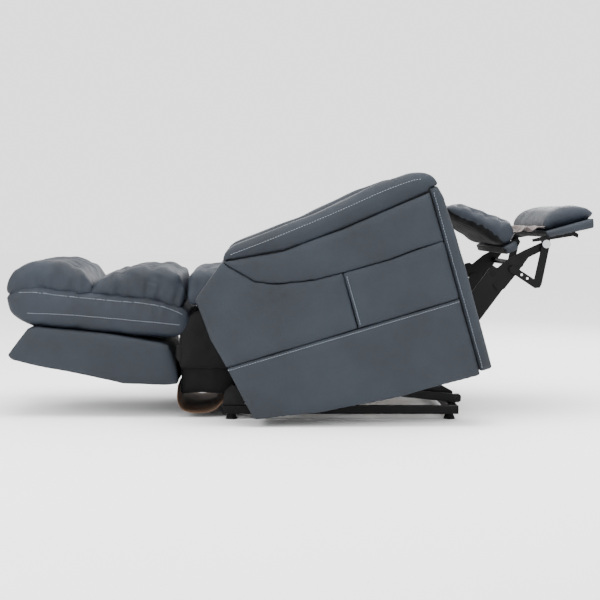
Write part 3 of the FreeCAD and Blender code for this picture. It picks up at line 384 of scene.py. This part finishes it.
def normals_of(piece):
    found = np.empty(len(piece.data.vertices) * 3)
    piece.data.vertex_normals.foreach_get("vector", found)
    return found.reshape(-1, 3)


def move_to(piece, points):
    piece.data.vertices.foreach_set("co", np.ascontiguousarray(points).ravel())
    piece.data.update()


def edge_distance(points, line, closed=False):
    """How far each point is from a line of points, and how far along the line it is nearest."""
    stations = [np.array(p, float) for p in line]
    if closed:
        stations.append(stations[0])
    nearest = np.full(len(points), FAR_OFF)
    along = np.zeros(len(points))
    walked = 0.0
    for a, b in zip(stations, stations[1:]):
        run = b - a
        length = float(np.linalg.norm(run)) or TINY
        t = np.clip((points - a) @ run / length ** 2, 0, 1)
        gap = np.linalg.norm(points - (a + t[:, None] * run), axis=1)
        closer = gap < nearest
        along[closer] = walked + t[closer] * length
        nearest = np.minimum(nearest, gap)
        walked += length
    return nearest, along


def pillow(piece, outline, middle, half, depth, reach):
    """Draws both side faces in near the outline, so that each panel is crowned."""
    points = points_of(piece)
    gap, _ = edge_distance(points[:, [0, 2]], outline, closed=True)
    inset = depth * np.exp(-(gap / reach) ** 1.4)
    off = points[:, 1] - middle
    points[:, 1] = middle + off * (half - inset) / half
    move_to(piece, points)


def stuff(piece, cap):
    """Air pressure inside the cover, with every point's travel capped."""
    choose(piece)
    start = points_of(piece)
    cover = piece.modifiers.new("Stuffing", "CLOTH")
    cover.settings.use_pressure = True
    cover.settings.uniform_pressure_force = FOAM_PRESSURE
    cover.settings.effector_weights.gravity = 0
    cover.settings.quality = 4
    for number in range(1, FOAM_FRAMES + 1):
        bpy.context.scene.frame_set(number)
    bpy.ops.object.modifier_apply(modifier=cover.name)
    bpy.context.scene.frame_set(1)
    travel = points_of(piece) - start
    far = np.linalg.norm(travel, axis=1, keepdims=True)
    move_to(piece, start + travel * np.minimum(1, cap / np.maximum(far, TINY)))


def crease(piece, line, depth, width, ripple, period, reach):
    """Pulls the cover in along a seam line, with small puckers running off it.

    The seam is depth deep and width wide. The puckers are ripple high, one to every period
    along the seam, and die away over reach. All are in metres.
    """
    points, out = points_of(piece), normals_of(piece)
    gap, along = edge_distance(points, line)
    wave = np.sin(along * 2 * math.pi / period) + 0.6 * np.sin(along * 9.1 / period + 1.3)
    pull = depth * np.exp(-(gap / width) ** 2) - ripple * wave * np.exp(-gap / reach)
    move_to(piece, points - out * pull[:, None])


def wrinkle(piece, strength, size, shift):
    """Slow unevenness all over the cover; the shift makes each cover's own."""
    points, out = points_of(piece), normals_of(piece)
    x, y, z = ((points + shift) * 2 * math.pi / size).T
    swell = (np.sin(x + 1.7 * np.sin(y * 0.8)) + np.sin(z * 1.2 + 1.3 * np.sin(x * 1.1))
             + np.sin(y * 0.9 + 1.5 * np.sin(z * 0.7 + x * 0.5))) / 3
    move_to(piece, points + out * (strength * swell)[:, None])


def dress(piece, body, finish, slot, *stands_for):
    """Gives the piece its finish and the body that it moves with, and hides the nodes it stands for."""
    piece.data.materials.clear()
    piece.data.materials.append(finish)
    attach(piece, body)
    if stands_for:
        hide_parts(*stands_for)


def dust_cloth_and_shade_below(piece):
    """Gives the faces that look down, and back toward the chair, the black dust cloth: real cloth beneath, and
    painted shade on the faces that fall in shadow.
    """
    shaded_down_and_back = (-0.7071, 0.0, -0.7071)
    facing = 0.45
    piece.data.materials.append(BLACK_CLOTH)
    # Faces turned down and back lie in shade; their black cloth is partly painted shade.
    for face in piece.data.polygons:
        if face.normal.dot(shaded_down_and_back) > facing:
            face.material_index = 1
    print(piece.name, "has dust cloth beneath")


print("filling tools: pillow, stuff, crease, wrinkle, dress, dust_cloth_and_shade_below")

# %% [markdown]
# ## Stitching
# A seam on leather is topstitched: a row of short thread bars about eight millimetres apart,
# lying just proud of the hide. One bar is modelled and copied along the line, each copy resting
# on the nearest point of the cover and turned along the seam.

# %% Stitch tool
STITCH_PITCH = 0.0085
STITCH_LONG = 0.0050
STITCH_THICK = 0.0006
STITCH_PROUD = 0.35


def stitch_row(name, cover, line, body):
    """A row of stitches along a line of room points that lies close to the cover."""
    deselect()
    bpy.ops.mesh.primitive_cylinder_add(vertices=6, radius=STITCH_THICK, depth=STITCH_LONG,
                                        rotation=(0, math.pi / 2, 0))
    bar = bpy.context.object
    bpy.ops.object.transform_apply(location=True, rotation=True, scale=True)
    stations = [Vector(p) for p in line]
    lengths = [(b - a).length for a, b in zip(stations, stations[1:])]
    copies, walked, place, leg = [], 0.0, STITCH_PITCH / 2, 0
    while leg < len(lengths):
        if place > walked + lengths[leg]:
            walked += lengths[leg]
            leg += 1
            continue
        a, b = stations[leg], stations[leg + 1]
        spot = a.lerp(b, (place - walked) / lengths[leg])
        hit, rest, normal, _ = cover.closest_point_on_mesh(spot)
        if hit:
            ahead = (b - a).normalized()
            ahead = (ahead - normal * ahead.dot(normal)).normalized()
            side = normal.cross(ahead)
            turn = Matrix((ahead, side, normal)).transposed().to_4x4()
            one = bar.copy()
            one.data = bar.data.copy()
            proud = rest + normal * STITCH_THICK * STITCH_PROUD
            one.matrix_world = Matrix.Translation(proud) @ turn
            bpy.context.scene.collection.objects.link(one)
            copies.append(one)
        place += STITCH_PITCH
    bpy.data.objects.remove(bar)
    deselect()
    for one in copies:
        one.select_set(True)
    bpy.context.view_layer.objects.active = copies[0]
    bpy.ops.object.join()
    row = bpy.context.object
    row.name = name
    bpy.ops.object.transform_apply(location=True, rotation=True, scale=True)
    bpy.ops.object.shade_smooth_by_angle(angle=math.radians(40))
    dress(row, body, THREAD, "leather")


print("stitches every", STITCH_PITCH * 1000, "mm")

# %% [markdown]
# ## The arms
# Each arm is a timber box with foam and leather over it, sewn from six panels: a padded cap on
# top, a long curved panel below it, a rolled post at the front, and a side in three pieces with
# a level seam and a short upright one. Separate panels meeting at their drawn-in edges give the
# dark seam lines, made darker by painted seam shadow from a dark core behind them.

# %% Arm outlines, in the seat frame
LEVEL_SEAM = [(-240, 148), (490, 162)]
UPRIGHT = 173.0
ARM_PANELS = {
    "lower": [(-200, -24), (-5, -56), (236, -74), (490, -76), LEVEL_SEAM[1], LEVEL_SEAM[0]],
    "rear": [LEVEL_SEAM[0], (UPRIGHT, 156), (UPRIGHT, 330), (86, 332), (-28, 351), (-89, 375),
             (-129, 416), (-150, 436), (-168, 459), (-277, 371), (-265, 244)],
    "front": [(UPRIGHT, 156), LEVEL_SEAM[1], (490, 342), (406, 339), (324, 331), (UPRIGHT, 330)],
    "saddle": [(-168, 459), (-150, 436), (-129, 416), (-89, 375), (-28, 351), (86, 332), (205, 330),
               (324, 331), (406, 339), (490, 342), (490, 495), (208, 457), (20, 441)],
    "cap": [(-168, 460), (20, 442), (208, 458), (490, 496), (491, 508), (523, 508), (519, 526),
            (510, 542), (497, 553), (476, 562), (453, 566), (349, 561), (140, 524), (-123, 497),
            (-143, 490), (-158, 478)],
    "post": [(491, -69), (531, -67), (534, 100), (534, 262), (531, 380), (528, 470), (518, 507),
             (491, 507)],
}
PUFF = {"lower": (0.005, 0.014), "rear": (0.005, 0.014), "front": (0.005, 0.014),
        "saddle": (0.006, 0.014), "cap": (0.012, 0.020), "post": (0.014, 0.014)}

print("arm panels:", ", ".join(ARM_PANELS))

# %% [markdown]
# ## Sewing the arms
# Each panel's outline is cut as a slab, remeshed evenly and drawn in at its edges, which crowns
# it as the foam does. Sculpting would do it too, but this way both arms come out alike. Behind
# the seams stands a dark core in black cloth, painted seam shadow that darkens the gaps between the panels.

# %% Sew the arms
VOXEL = 0.0055


def cover_of(name, outline, near, far, puff, rounds=3):
    """A crowned cover over a slab: remeshed evenly, drawn in at its edges, then eased."""
    piece = slab(name, outline, near, far)
    finish_modifier(piece, "REMESH", mode="VOXEL", voxel_size=VOXEL, use_smooth_shade=True)
    pillow(piece, outline, (near + far) / 2, (far - near) / 2, *puff)
    finish_modifier(piece, "SMOOTH", factor=0.5, iterations=rounds)
    return smoothed(piece)


SEAM_SHADOW_INSET = 0.0155
ARM_SEAM_SHADOW_CORE = [(-184, -10), (-5, -42), (236, -60), (508, -60), (512, 262), (508, 470), (500, 496),
            (488, 530), (460, 542), (349, 541), (140, 504), (-110, 478), (-136, 468), (-152, 452),
            (-260, 366), (-250, 244)]
STANDS_FOR = {"lower": "arm_side_panels", "saddle": "arm_saddle", "cap": "arm_cap", "post": "arm_post"}
for side, sign in (("left", 1), ("right", -1)):
    near, far = sorted((sign * ARM_IN, sign * ARM_OUT))
    seam_shadow_outline = [seat(*p) for p in ARM_SEAM_SHADOW_CORE]
    # A dark core inside the arm, set behind the seams as painted seam shadow.
    seam_shadow_core = slab(f"arm_seam_shadow_block_{side}", seam_shadow_outline, near + SEAM_SHADOW_INSET, far - SEAM_SHADOW_INSET)
    finish_modifier(seam_shadow_core, "BEVEL", width=0.006, segments=3)
    dress(smoothed(seam_shadow_core), "seat", BLACK_CLOTH, "black_cloth")
    for label, drawn in ARM_PANELS.items():
        outline = [seat(*p) for p in drawn]
        rounds = 8 if label in ("cap", "post") else 3
        piece = cover_of(f"arm_{label}_leather_{side}", outline, near, far, PUFF[label], rounds)
        wrinkle(piece, 0.002 if label == "cap" else 0.0014, 0.21, sign * 0.37)
        stands = [f"{STANDS_FOR[label]}_{side}"] if label in STANDS_FOR else []
        dress(piece, "seat", HIDE, "leather", *stands)
    print("arm", side, "sewn from", len(ARM_PANELS), "panels")

# %% [markdown]
# ## Topstitching on the arms
# The cap, the level seam, the upright seam and the post are each sewn with one pale row, on
# both faces of the arm. Thread is modelled instead of painted on, so it holds in a close view.

# %% Topstitching on the arms
def seat_line(points, y):
    """Seat-frame points in millimetres, as room points at one y."""
    return [(seat(x, z)[0], y, seat(x, z)[1]) for x, z in points]


CAP_STITCH = [(-140, 473), (20, 490), (208, 514), (349, 534), (440, 543), (478, 540)]
ARM_ROWS = {"cap": ("cap", smooth_through(CAP_STITCH, 5, closed=False)),
            "level": ("lower", [(-250, 140), (490, 154)]),
            "upright": ("front", [(UPRIGHT + 8, 166), (UPRIGHT + 8, 322)]),
            "post": ("post", [(497, -60), (497, 490)])}
for side, sign in (("left", 1), ("right", -1)):
    for face, y in (("outer", sign * ARM_OUT), ("inner", sign * ARM_IN)):
        for label, (panel, line) in ARM_ROWS.items():
            cover = bpy.data.objects[f"arm_{panel}_leather_{side}"]
            stitch_row(f"arm_stitches_{label}_{face}_{side}", cover, seat_line(line, y), "seat")
    print("arm stitches", side)

# %% [markdown]
# ## The back
# The back is one long under cushion with a head roll, a middle roll and a lumbar roll sewn on
# top. Two stitched lines run down its side, one where the rolls join it and one near the
# bottom, and the leather puckers where it is gathered into the upper one. Each roll is a
# filled cover, because only air pressure gives the fullness between two seams.

# %% Back cushions
SOFT_VOXEL = 0.0115
SOFT_INSET = 0.004


def cushion(name, drawn, cap, rounds=4, voxel=SOFT_VOXEL, crown=0.020):
    """A filled cover over an outline, starting a little inside the width that it may fill."""
    piece = slab(name, drawn, -CUSHION + SOFT_INSET, CUSHION - SOFT_INSET)
    finish_modifier(piece, "REMESH", mode="VOXEL", voxel_size=voxel, use_smooth_shade=True)
    pillow(piece, drawn, 0, CUSHION, crown, 0.030)
    finish_modifier(piece, "SMOOTH", factor=0.5, iterations=rounds)
    stuff(piece, cap)
    finish_modifier(piece, "SMOOTH", factor=0.5, iterations=2)
    finish_modifier(piece, "SUBSURF", levels=1, render_levels=1)
    return piece


def fine(piece):
    """The last subdivision and smoothing of a soft cover, once its creases are in."""
    finish_modifier(piece, "SUBSURF", levels=1, render_levels=1)
    smoothed(piece)


BACK_COVERS = {
    "base": [(-838, -4), (-841, -34), (-824, -70), (-764, -100), (-620, -116), (-480, -130),
             (-346, -136), (-272, -134), (-246, -98), (-262, -52), (-366, -16), (-568, 3),
             (-700, 20), (-790, 24)],
    "head": [(-838, -6), (-834, 40), (-800, 74), (-740, 90), (-680, 91), (-630, 80), (-590, 54),
             (-562, 20), (-570, -12), (-700, 2), (-800, -8)],
    "middle": [(-574, -10), (-556, 28), (-500, 54), (-430, 70), (-360, 74), (-300, 66), (-272, 40),
               (-268, -40), (-300, -56), (-366, -34), (-480, -16)],
    "lower": [(-266, -34), (-266, 46), (-250, 62), (-180, 70), (-110, 66), (-68, 44), (-64, 14),
              (-100, -8), (-150, -26), (-210, -38)],
}
back_covers = {}
for label, drawn in BACK_COVERS.items():
    outline = [tuple(p) for p in smooth_through([back(*p) for p in drawn])]
    back_covers[label] = cushion(f"back_{label}_leather", outline, 0.010, crown=0.012)
    print("filled", back_covers[label].name)

# %% [markdown]
# ## Seams on the back
# The rolls are gathered: short folds run up and down from the seam. Each is a shallow wave that
# dies away within a few centimetres, drawn on the cover where its own seam passes.

# %% Gathers, seams and stitches on the back
def back_line(points, y, steps=6):
    """A smooth line through back-frame points in millimetres, as room points at one y."""
    return [(p.x, y, p.y) for p in smooth_through([back(*q) for q in points], steps, closed=False)]


def rail(spot, share, sag=0.0):
    """A line across a cushion through a room x and z, over a share of its width."""
    x, z = spot
    return [(x, -CUSHION * share, z), (x, 0, z + sag), (x, CUSHION * share, z)]


TOP_SEAM = [(-800, 16), (-741, 14), (-568, -4), (-366, -24), (-275, -54)]
LOW_SEAM = [(-770, -76), (-614, -82), (-408, -100), (-290, -112)]
SIDE_SEAMS = [
    ("base", TOP_SEAM, dict(depth=0.003, width=0.006, ripple=0.0016, period=0.042, reach=0.030)),
    ("base", LOW_SEAM, dict(depth=0.0035, width=0.006, ripple=0.0012, period=0.060, reach=0.022)),
    ("head", [(-815, 32), (-700, 34), (-570, 20)],
     dict(depth=0.0, width=0.006, ripple=0.0022, period=0.05, reach=0.05)),
    ("middle", [(-560, 14), (-366, -2), (-276, -24)],
     dict(depth=0.0, width=0.006, ripple=0.0026, period=0.045, reach=0.05)),
    ("middle", [(-372, -6), (-366, 30), (-350, 70)],
     dict(depth=0.007, width=0.009, ripple=0.002, period=0.02, reach=0.02)),
    ("lower", [(-262, -30), (-160, -20), (-70, 14)],
     dict(depth=0.0, width=0.006, ripple=0.0026, period=0.04, reach=0.05)),
]
for y in (-CUSHION, CUSHION):
    for label, line, look in SIDE_SEAMS:
        crease(back_covers[label], back_line(line, y), **look)
CHANNELS = {"head": [(-700, 92), (-628, 78)], "middle": [(-470, 62), (-372, 74), (-310, 68)],
            "lower": [(-205, 70), (-125, 68)]}
for label, channels in CHANNELS.items():
    depth = 0.009 if label == "middle" else 0.004
    for channel in channels:
        crease(back_covers[label], rail(back(*channel), 0.86, sag=0.004),
               depth=depth, width=0.016, ripple=0.0022, period=0.038, reach=0.035)
for label, cover in back_covers.items():
    strength, size = (0.0016, 0.16) if label == "base" else (0.0028, 0.085)
    wrinkle(cover, strength, size, 0.2)
    fine(cover)
    dress(cover, "backrest", SOFT_HIDE, "leather", f"back_cushion_{label}")
top_row = [(x, z - 9) for x, z in TOP_SEAM]
low_row = [(x, z + 8) for x, z in LOW_SEAM]
for side, y in (("left", CUSHION), ("right", -CUSHION)):
    stitch_row(f"back_stitches_top_{side}", back_covers["base"], back_line(top_row, y), "backrest")
    stitch_row(f"back_stitches_low_{side}", back_covers["base"], back_line(low_row, y), "backrest")
print("seams on", ", ".join(back_covers))

# %% [markdown]
# ## Seat cushion
# A seat has a firm front roll and a flatter middle, with channels across it. It shows from
# above and in front, between the arms, and is filled in the same way as the back.

# %% Seat cushion
seat_drawn = [(12, 304), (525, 303), (539, 318), (541, 360), (536, 402), (512, 428), (470, 431),
              (300, 424), (60, 420), (18, 408), (9, 360)]
seat_cover = cushion("seat_leather", [seat(*p) for p in seat_drawn], 0.010)
for x in (120, 300, 430):
    crease(seat_cover, rail(seat(x, 425), 0.9),
           depth=0.008, width=0.013, ripple=0.0018, period=0.045, reach=0.03)
wrinkle(seat_cover, 0.002, 0.12, 0.7)
fine(seat_cover)
dress(seat_cover, "seat", SOFT_HIDE, "leather", "seat_cushion")
print("seat cushion", len(seat_cover.data.polygons), "faces")

# %% [markdown]
# ## The chaise
# The chaise is the soft pad behind the knees. It hangs from the front of the seat. Channels cross it, and its
# underside is closed with black cloth, partly painted shade on its downward and rearward faces.

# %% Chaise pad
FRONT, ANKLE_X, ANKLE_Z = 545.0, 828.0, 235.0
chaise_drawn = [(FRONT + 8, 430), (FRONT + 40, 431), (FRONT + 95, 396), (ANKLE_X - 128, 352),
                (ANKLE_X - 98, 334), (ANKLE_X - 84, 312), (ANKLE_X - 86, 286), (ANKLE_X - 106, 268),
                (ANKLE_X - 136, 272), (FRONT + 108, 318), (FRONT + 62, 366), (FRONT + 14, 404)]
chaise_outline = [tuple(p) for p in smooth_through([seat(*p) for p in chaise_drawn])]
chaise = cushion("chaise_leather", chaise_outline, 0.008, voxel=SOFT_VOXEL * 0.9)
for x, z in ((FRONT + 50, 426), (FRONT + 92, 397), (FRONT + 132, 372), (FRONT + 170, 346)):
    crease(chaise, rail(seat(x, z), 0.97),
           depth=0.0045, width=0.010, ripple=0.003, period=0.036, reach=0.022)
chaise_rim = [(FRONT + 12, 412), (FRONT + 80, 372), (FRONT + 150, 316), (ANKLE_X - 90, 286)]
for y in (-CUSHION, CUSHION):
    crease(chaise, seat_line(chaise_rim, y),
           depth=0.004, width=0.006, ripple=0.0018, period=0.028, reach=0.02)
wrinkle(chaise, 0.002, 0.06, 0.4)
fine(chaise)
chaise.data.materials.clear()
chaise.data.materials.append(SOFT_HIDE)
# Black cloth on the chaise's downward and rearward faces, partly painted shade where they fall in shadow.
dust_cloth_and_shade_below(chaise)
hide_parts("chaise_pad")
seam_x, seam_z = seat(FRONT, 420)
end_x, end_z = seat(FRONT + 60, 400)
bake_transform(chaise)
print("chaise", len(chaise.data.polygons), "faces")

# %% [markdown]
# ## The calf pad and the two blocks
# The calf pad at the end is a firm domed cushion, with a second upholstered block beneath it
# that hides its board. A smaller block of the same kind closes the end of the chaise.

# %% Calf pad and blocks
def block_of(name, drawn, inset, puff, body, *stands_for):
    """An upholstered block across the footrest, with black cloth on its downward and rearward faces, partly
    painted shade.
    """
    block = cover_of(name, [seat(*p) for p in drawn], -CUSHION + inset, CUSHION - inset, puff)
    dress(block, body, HIDE, "leather", *stands_for)
    # The block's downward and rearward faces take black cloth, partly painted shade.
    dust_cloth_and_shade_below(block)


chaise_end = [(ANKLE_X - 136, 262), (ANKLE_X - 90, 272), (ANKLE_X - 88, 244), (ANKLE_X - 134, 236)]
block_of("chaise_end_block", chaise_end, 0.012, (0.006, 0.012), "chaise")

PAD_END = ANKLE_X + 172
pad_drawn = [(ANKLE_X + 2, ANKLE_Z + 42), (PAD_END, ANKLE_Z + 42), (PAD_END + 1, ANKLE_Z + 52),
             (PAD_END - 12, ANKLE_Z + 70), (PAD_END - 50, ANKLE_Z + 86), (ANKLE_X + 90, ANKLE_Z + 92),
             (ANKLE_X + 44, ANKLE_Z + 88), (ANKLE_X + 12, ANKLE_Z + 74), (ANKLE_X + 1, ANKLE_Z + 54)]
calf = cushion("calf_pad_leather", [seat(*p) for p in pad_drawn], 0.009, rounds=2)
calf_rim = [(ANKLE_X + 10, ANKLE_Z + 54), (ANKLE_X + 80, ANKLE_Z + 60), (PAD_END - 6, ANKLE_Z + 54)]
for y in (-CUSHION, CUSHION):
    crease(calf, seat_line(calf_rim, y),
           depth=0.003, width=0.005, ripple=0.001, period=0.04, reach=0.02)
wrinkle(calf, 0.0015, 0.12, 0.9)
fine(calf)
dress(calf, "footrest_rest", SOFT_HIDE, "leather", "footrest_pad")
under_calf = [(ANKLE_X + 2, ANKLE_Z + 40), (PAD_END - 10, ANKLE_Z + 40),
              (PAD_END - 16, ANKLE_Z + 10), (ANKLE_X + 8, ANKLE_Z + 18)]
block_of("calf_pad_block", under_calf, 0.004, (0.005, 0.010), "footrest_rest", "footrest_board")
print("calf pad", len(calf.data.polygons), "faces")

# %% [markdown]
# ## Cloth in the gaps
# A strip of lining closes the gap between chaise and calf pad, and a strip of hide closes the
# one between seat and back. Both are there only to fill, so they lie in loose crumples: a grid
# raised by a few crossed waves and given the thickness of cloth.

# %% Crumpled strips
STRIP_WALL = 0.0014


def cloth_strip(name, corners, folds, lift, finish):
    """A strip from one edge to another, in loose folds that run along it."""
    (x0, z0), (x1, z1) = corners
    half = CUSHION - 0.012
    deselect()
    bpy.ops.mesh.primitive_grid_add(x_subdivisions=26, y_subdivisions=110, size=1)
    strip = bpy.context.object
    strip.name = name
    grid = points_of(strip)
    across, along = grid[:, 0] + 0.5, grid[:, 1] * 2 * half
    folded = np.sin(across * folds * 2 * math.pi + 2.2 * np.sin(along * 21))
    crumple = folded + 0.6 * np.sin(along * 74 + across * 6)
    rise = lift * crumple * np.sin(across * math.pi)
    grid = np.stack([x0 + (x1 - x0) * across, along, z0 + (z1 - z0) * across + rise], axis=1)
    move_to(strip, grid)
    finish_modifier(strip, "SOLIDIFY", thickness=STRIP_WALL, offset=0)
    smoothed(strip)
    strip.data.materials.append(finish)
    return strip


lining_ends = (seat(ANKLE_X - 92, 300), seat(ANKLE_X + 8, ANKLE_Z + 56))
lining = cloth_strip("footrest_lining", lining_ends, 2.5, 0.006, BRIDGE_CLOTH)
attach(lining, "footrest_rest")

crevice_ends = (back(-78, 24), seat(22, 396))
crevice = cloth_strip("seat_crevice_cover", crevice_ends, 1.0, 0.005, SOFT_HIDE)
from_x, from_z = back(-66, 24)
to_x, to_z = seat(14, 396)
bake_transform(crevice)
print("strips", lining.name, crevice.name)

# %% [markdown]
# ## Outside of the back
# Behind the head the back is closed by a leather-covered shell with a swept wing on each side,
# and black cloth covers close the space over the hinge. The black of the skirt there is partly painted shade, for
# the dark open space over the mechanism.

# %% Shell and cloth covers
shell_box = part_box("back_shell")
shell_drawn = [(-832, -198), (-820, -212), (-700, -240), (-563, -266), (-466, -288), (-330, -292),
               (-292, -288), (-300, -240), (-322, -170), (-340, -160), (-515, -130), (-741, -108),
               (-768, -112)]
shell_outline = [back(*p) for p in shell_drawn]
shell = cover_of("back_shell_leather", shell_outline, shell_box[0].y, shell_box[1].y, (0.006, 0.014), 4)
wrinkle(shell, 0.0014, 0.2, 0.5)
dress(shell, "backrest", HIDE, "leather", "back_shell")

lower_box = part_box("back_lower_cover")
lower_drawn = [(-286, -170), (-286, -322), (-132, -322), (-115, -306), (-115, -210), (-152, -170)]
lower_outline = [back(*p) for p in lower_drawn]
lower = cover_of("back_lower_cloth", lower_outline, lower_box[0].y, lower_box[1].y, (0.010, 0.020), 6)
wrinkle(lower, 0.003, 0.11, 0.3)
dress(lower, "backrest", BLACK_CLOTH, "black_cloth", "back_lower_cover")

# The skirt's black cloth is partly painted shade for the dark open space over the mechanism.
shade_skirt_drawn = [(-288, -96), (-288, -240), (-118, -240), (-104, -150), (-112, -60), (-150, -38),
               (-238, -62)]
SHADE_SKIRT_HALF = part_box("back_hinge_plates")[1].y + 0.006
shade_skirt_outline = [back(*p) for p in shade_skirt_drawn]
shade_skirt = cover_of("back_shade_skirt_cloth", shade_skirt_outline, -SHADE_SKIRT_HALF, SHADE_SKIRT_HALF, (0.008, 0.020), 6)
wrinkle(shade_skirt, 0.003, 0.10, 0.6)
dress(shade_skirt, "backrest", BLACK_CLOTH, "black_cloth")
print("outside of the back:", shell.name, lower.name, shade_skirt.name)

# %% [markdown]
# ## The hanging flap
# The flap is one piece of hide, slate outside and bare brown suede inside. It hangs still, so
# it needs no cloth simulation: its curve is drawn edge by edge, pulled out to its width and
# given the thickness of hide, with the suede on the second face.

# %% Rear flap
FLAP = [(-294, -292), (-296, -340), (-278, -372), (-230, -381), (-181, -372), (-152, -345)]
FLAP_STRIPS = 40
flap_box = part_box("rear_flap")
flap_line = back_line(FLAP, flap_box[0].y, 5)
strip_step = (0, (flap_box[1].y - flap_box[0].y) / FLAP_STRIPS, 0)
deselect()
bpy.ops.mesh.primitive_plane_add(size=0.001, location=flap_line[0])
flap = bpy.context.object
flap.name = "rear_flap_leather"
bpy.ops.object.mode_set(mode="EDIT")
bpy.ops.mesh.select_all(action="SELECT")
bpy.ops.mesh.merge(type="CENTER")
for here, there in zip(flap_line, flap_line[1:]):
    step = tuple(Vector(there) - Vector(here))
    bpy.ops.mesh.extrude_region_move(TRANSFORM_OT_translate={"value": step})
bpy.ops.mesh.select_all(action="SELECT")
for _ in range(FLAP_STRIPS):
    bpy.ops.mesh.extrude_region_move(TRANSFORM_OT_translate={"value": strip_step})
bpy.ops.object.mode_set(mode="OBJECT")
bpy.ops.object.transform_apply(location=True, rotation=True, scale=True)
flap_points = points_of(flap)
flap_points[:, 2] += 0.0015 * np.sin(flap_points[:, 1] * 40)
move_to(flap, flap_points)
flap.data.materials.append(WORN_HIDE)
flap.data.materials.append(HIDE)
finish_modifier(flap, "SOLIDIFY", thickness=0.0018, offset=0, material_offset=1)
smoothed(flap)
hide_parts("rear_flap")
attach(flap, "backrest")
print("flap", len(flap.data.polygons), "faces")

# %% [markdown]
# ## Floor, light and camera
# A pale floor and a wide soft light from above and in front suit a dark leather, because the
# hide then shows broad gentle highlights on its crowns. The camera stands level, side-on to the
# chair, with a long lens so that the sides stay parallel.

# %% Floor, lights and camera
deselect()
bpy.ops.mesh.primitive_plane_add(size=40, location=(0, 0, 0))
floor = bpy.context.object
floor.name = "studio_floor"
pale = Paint("studio_floor", Roughness=0.9)
speck = pale.noise(3.0, 3.0)
floor.data.materials.append(pale.wear(pale.mix(speck, shade(250, 250, 250), shade(253, 253, 253))))

world = bpy.data.worlds.new("studio")
world.use_nodes = True
sky = world.node_tree.nodes["Background"]
sky.inputs["Color"].default_value = (1, 1, 1, 1)
sky.inputs["Strength"].default_value = 2.1
bpy.context.scene.world = world


def panel_light(name, place, target, size, watts):
    light = bpy.data.lights.new(name, "AREA")
    light.shape = "RECTANGLE"
    light.size, light.size_y = size
    light.energy = watts
    lamp = bpy.data.objects.new(name, light)
    lamp.location = place
    lamp.rotation_euler = (Vector(target) - Vector(place)).to_track_quat("-Z", "Y").to_euler()
    bpy.context.scene.collection.objects.link(lamp)


panel_light("overhead", (0.2, -0.6, 3.0), (0, 0, 0.4), (3.0, 2.0), 170)
panel_light("front_left", (-2.6, -3.0, 2.2), (0, 0, 0.4), (1.6, 1.6), 70)
panel_light("behind", (1.8, 2.6, 2.0), (0, 0, 0.5), (1.6, 1.2), 60)

lens = bpy.data.cameras.new("studio_camera")
lens.lens, lens.sensor_width = 80, 36
lens.shift_x, lens.shift_y = 0.083, -0.133
camera = bpy.data.objects.new("studio_camera", lens)
camera.location = (-0.155, -4.457, 0.623)
camera.rotation_euler = (math.pi / 2, 0, 0)
bpy.context.scene.collection.objects.link(camera)
bpy.context.scene.camera = camera
print("lights", len(bpy.data.lights), "and a", int(lens.lens), "mm lens")

# %% [markdown]
# Leather may stand a little proud of the frame, and no more.


print("done")
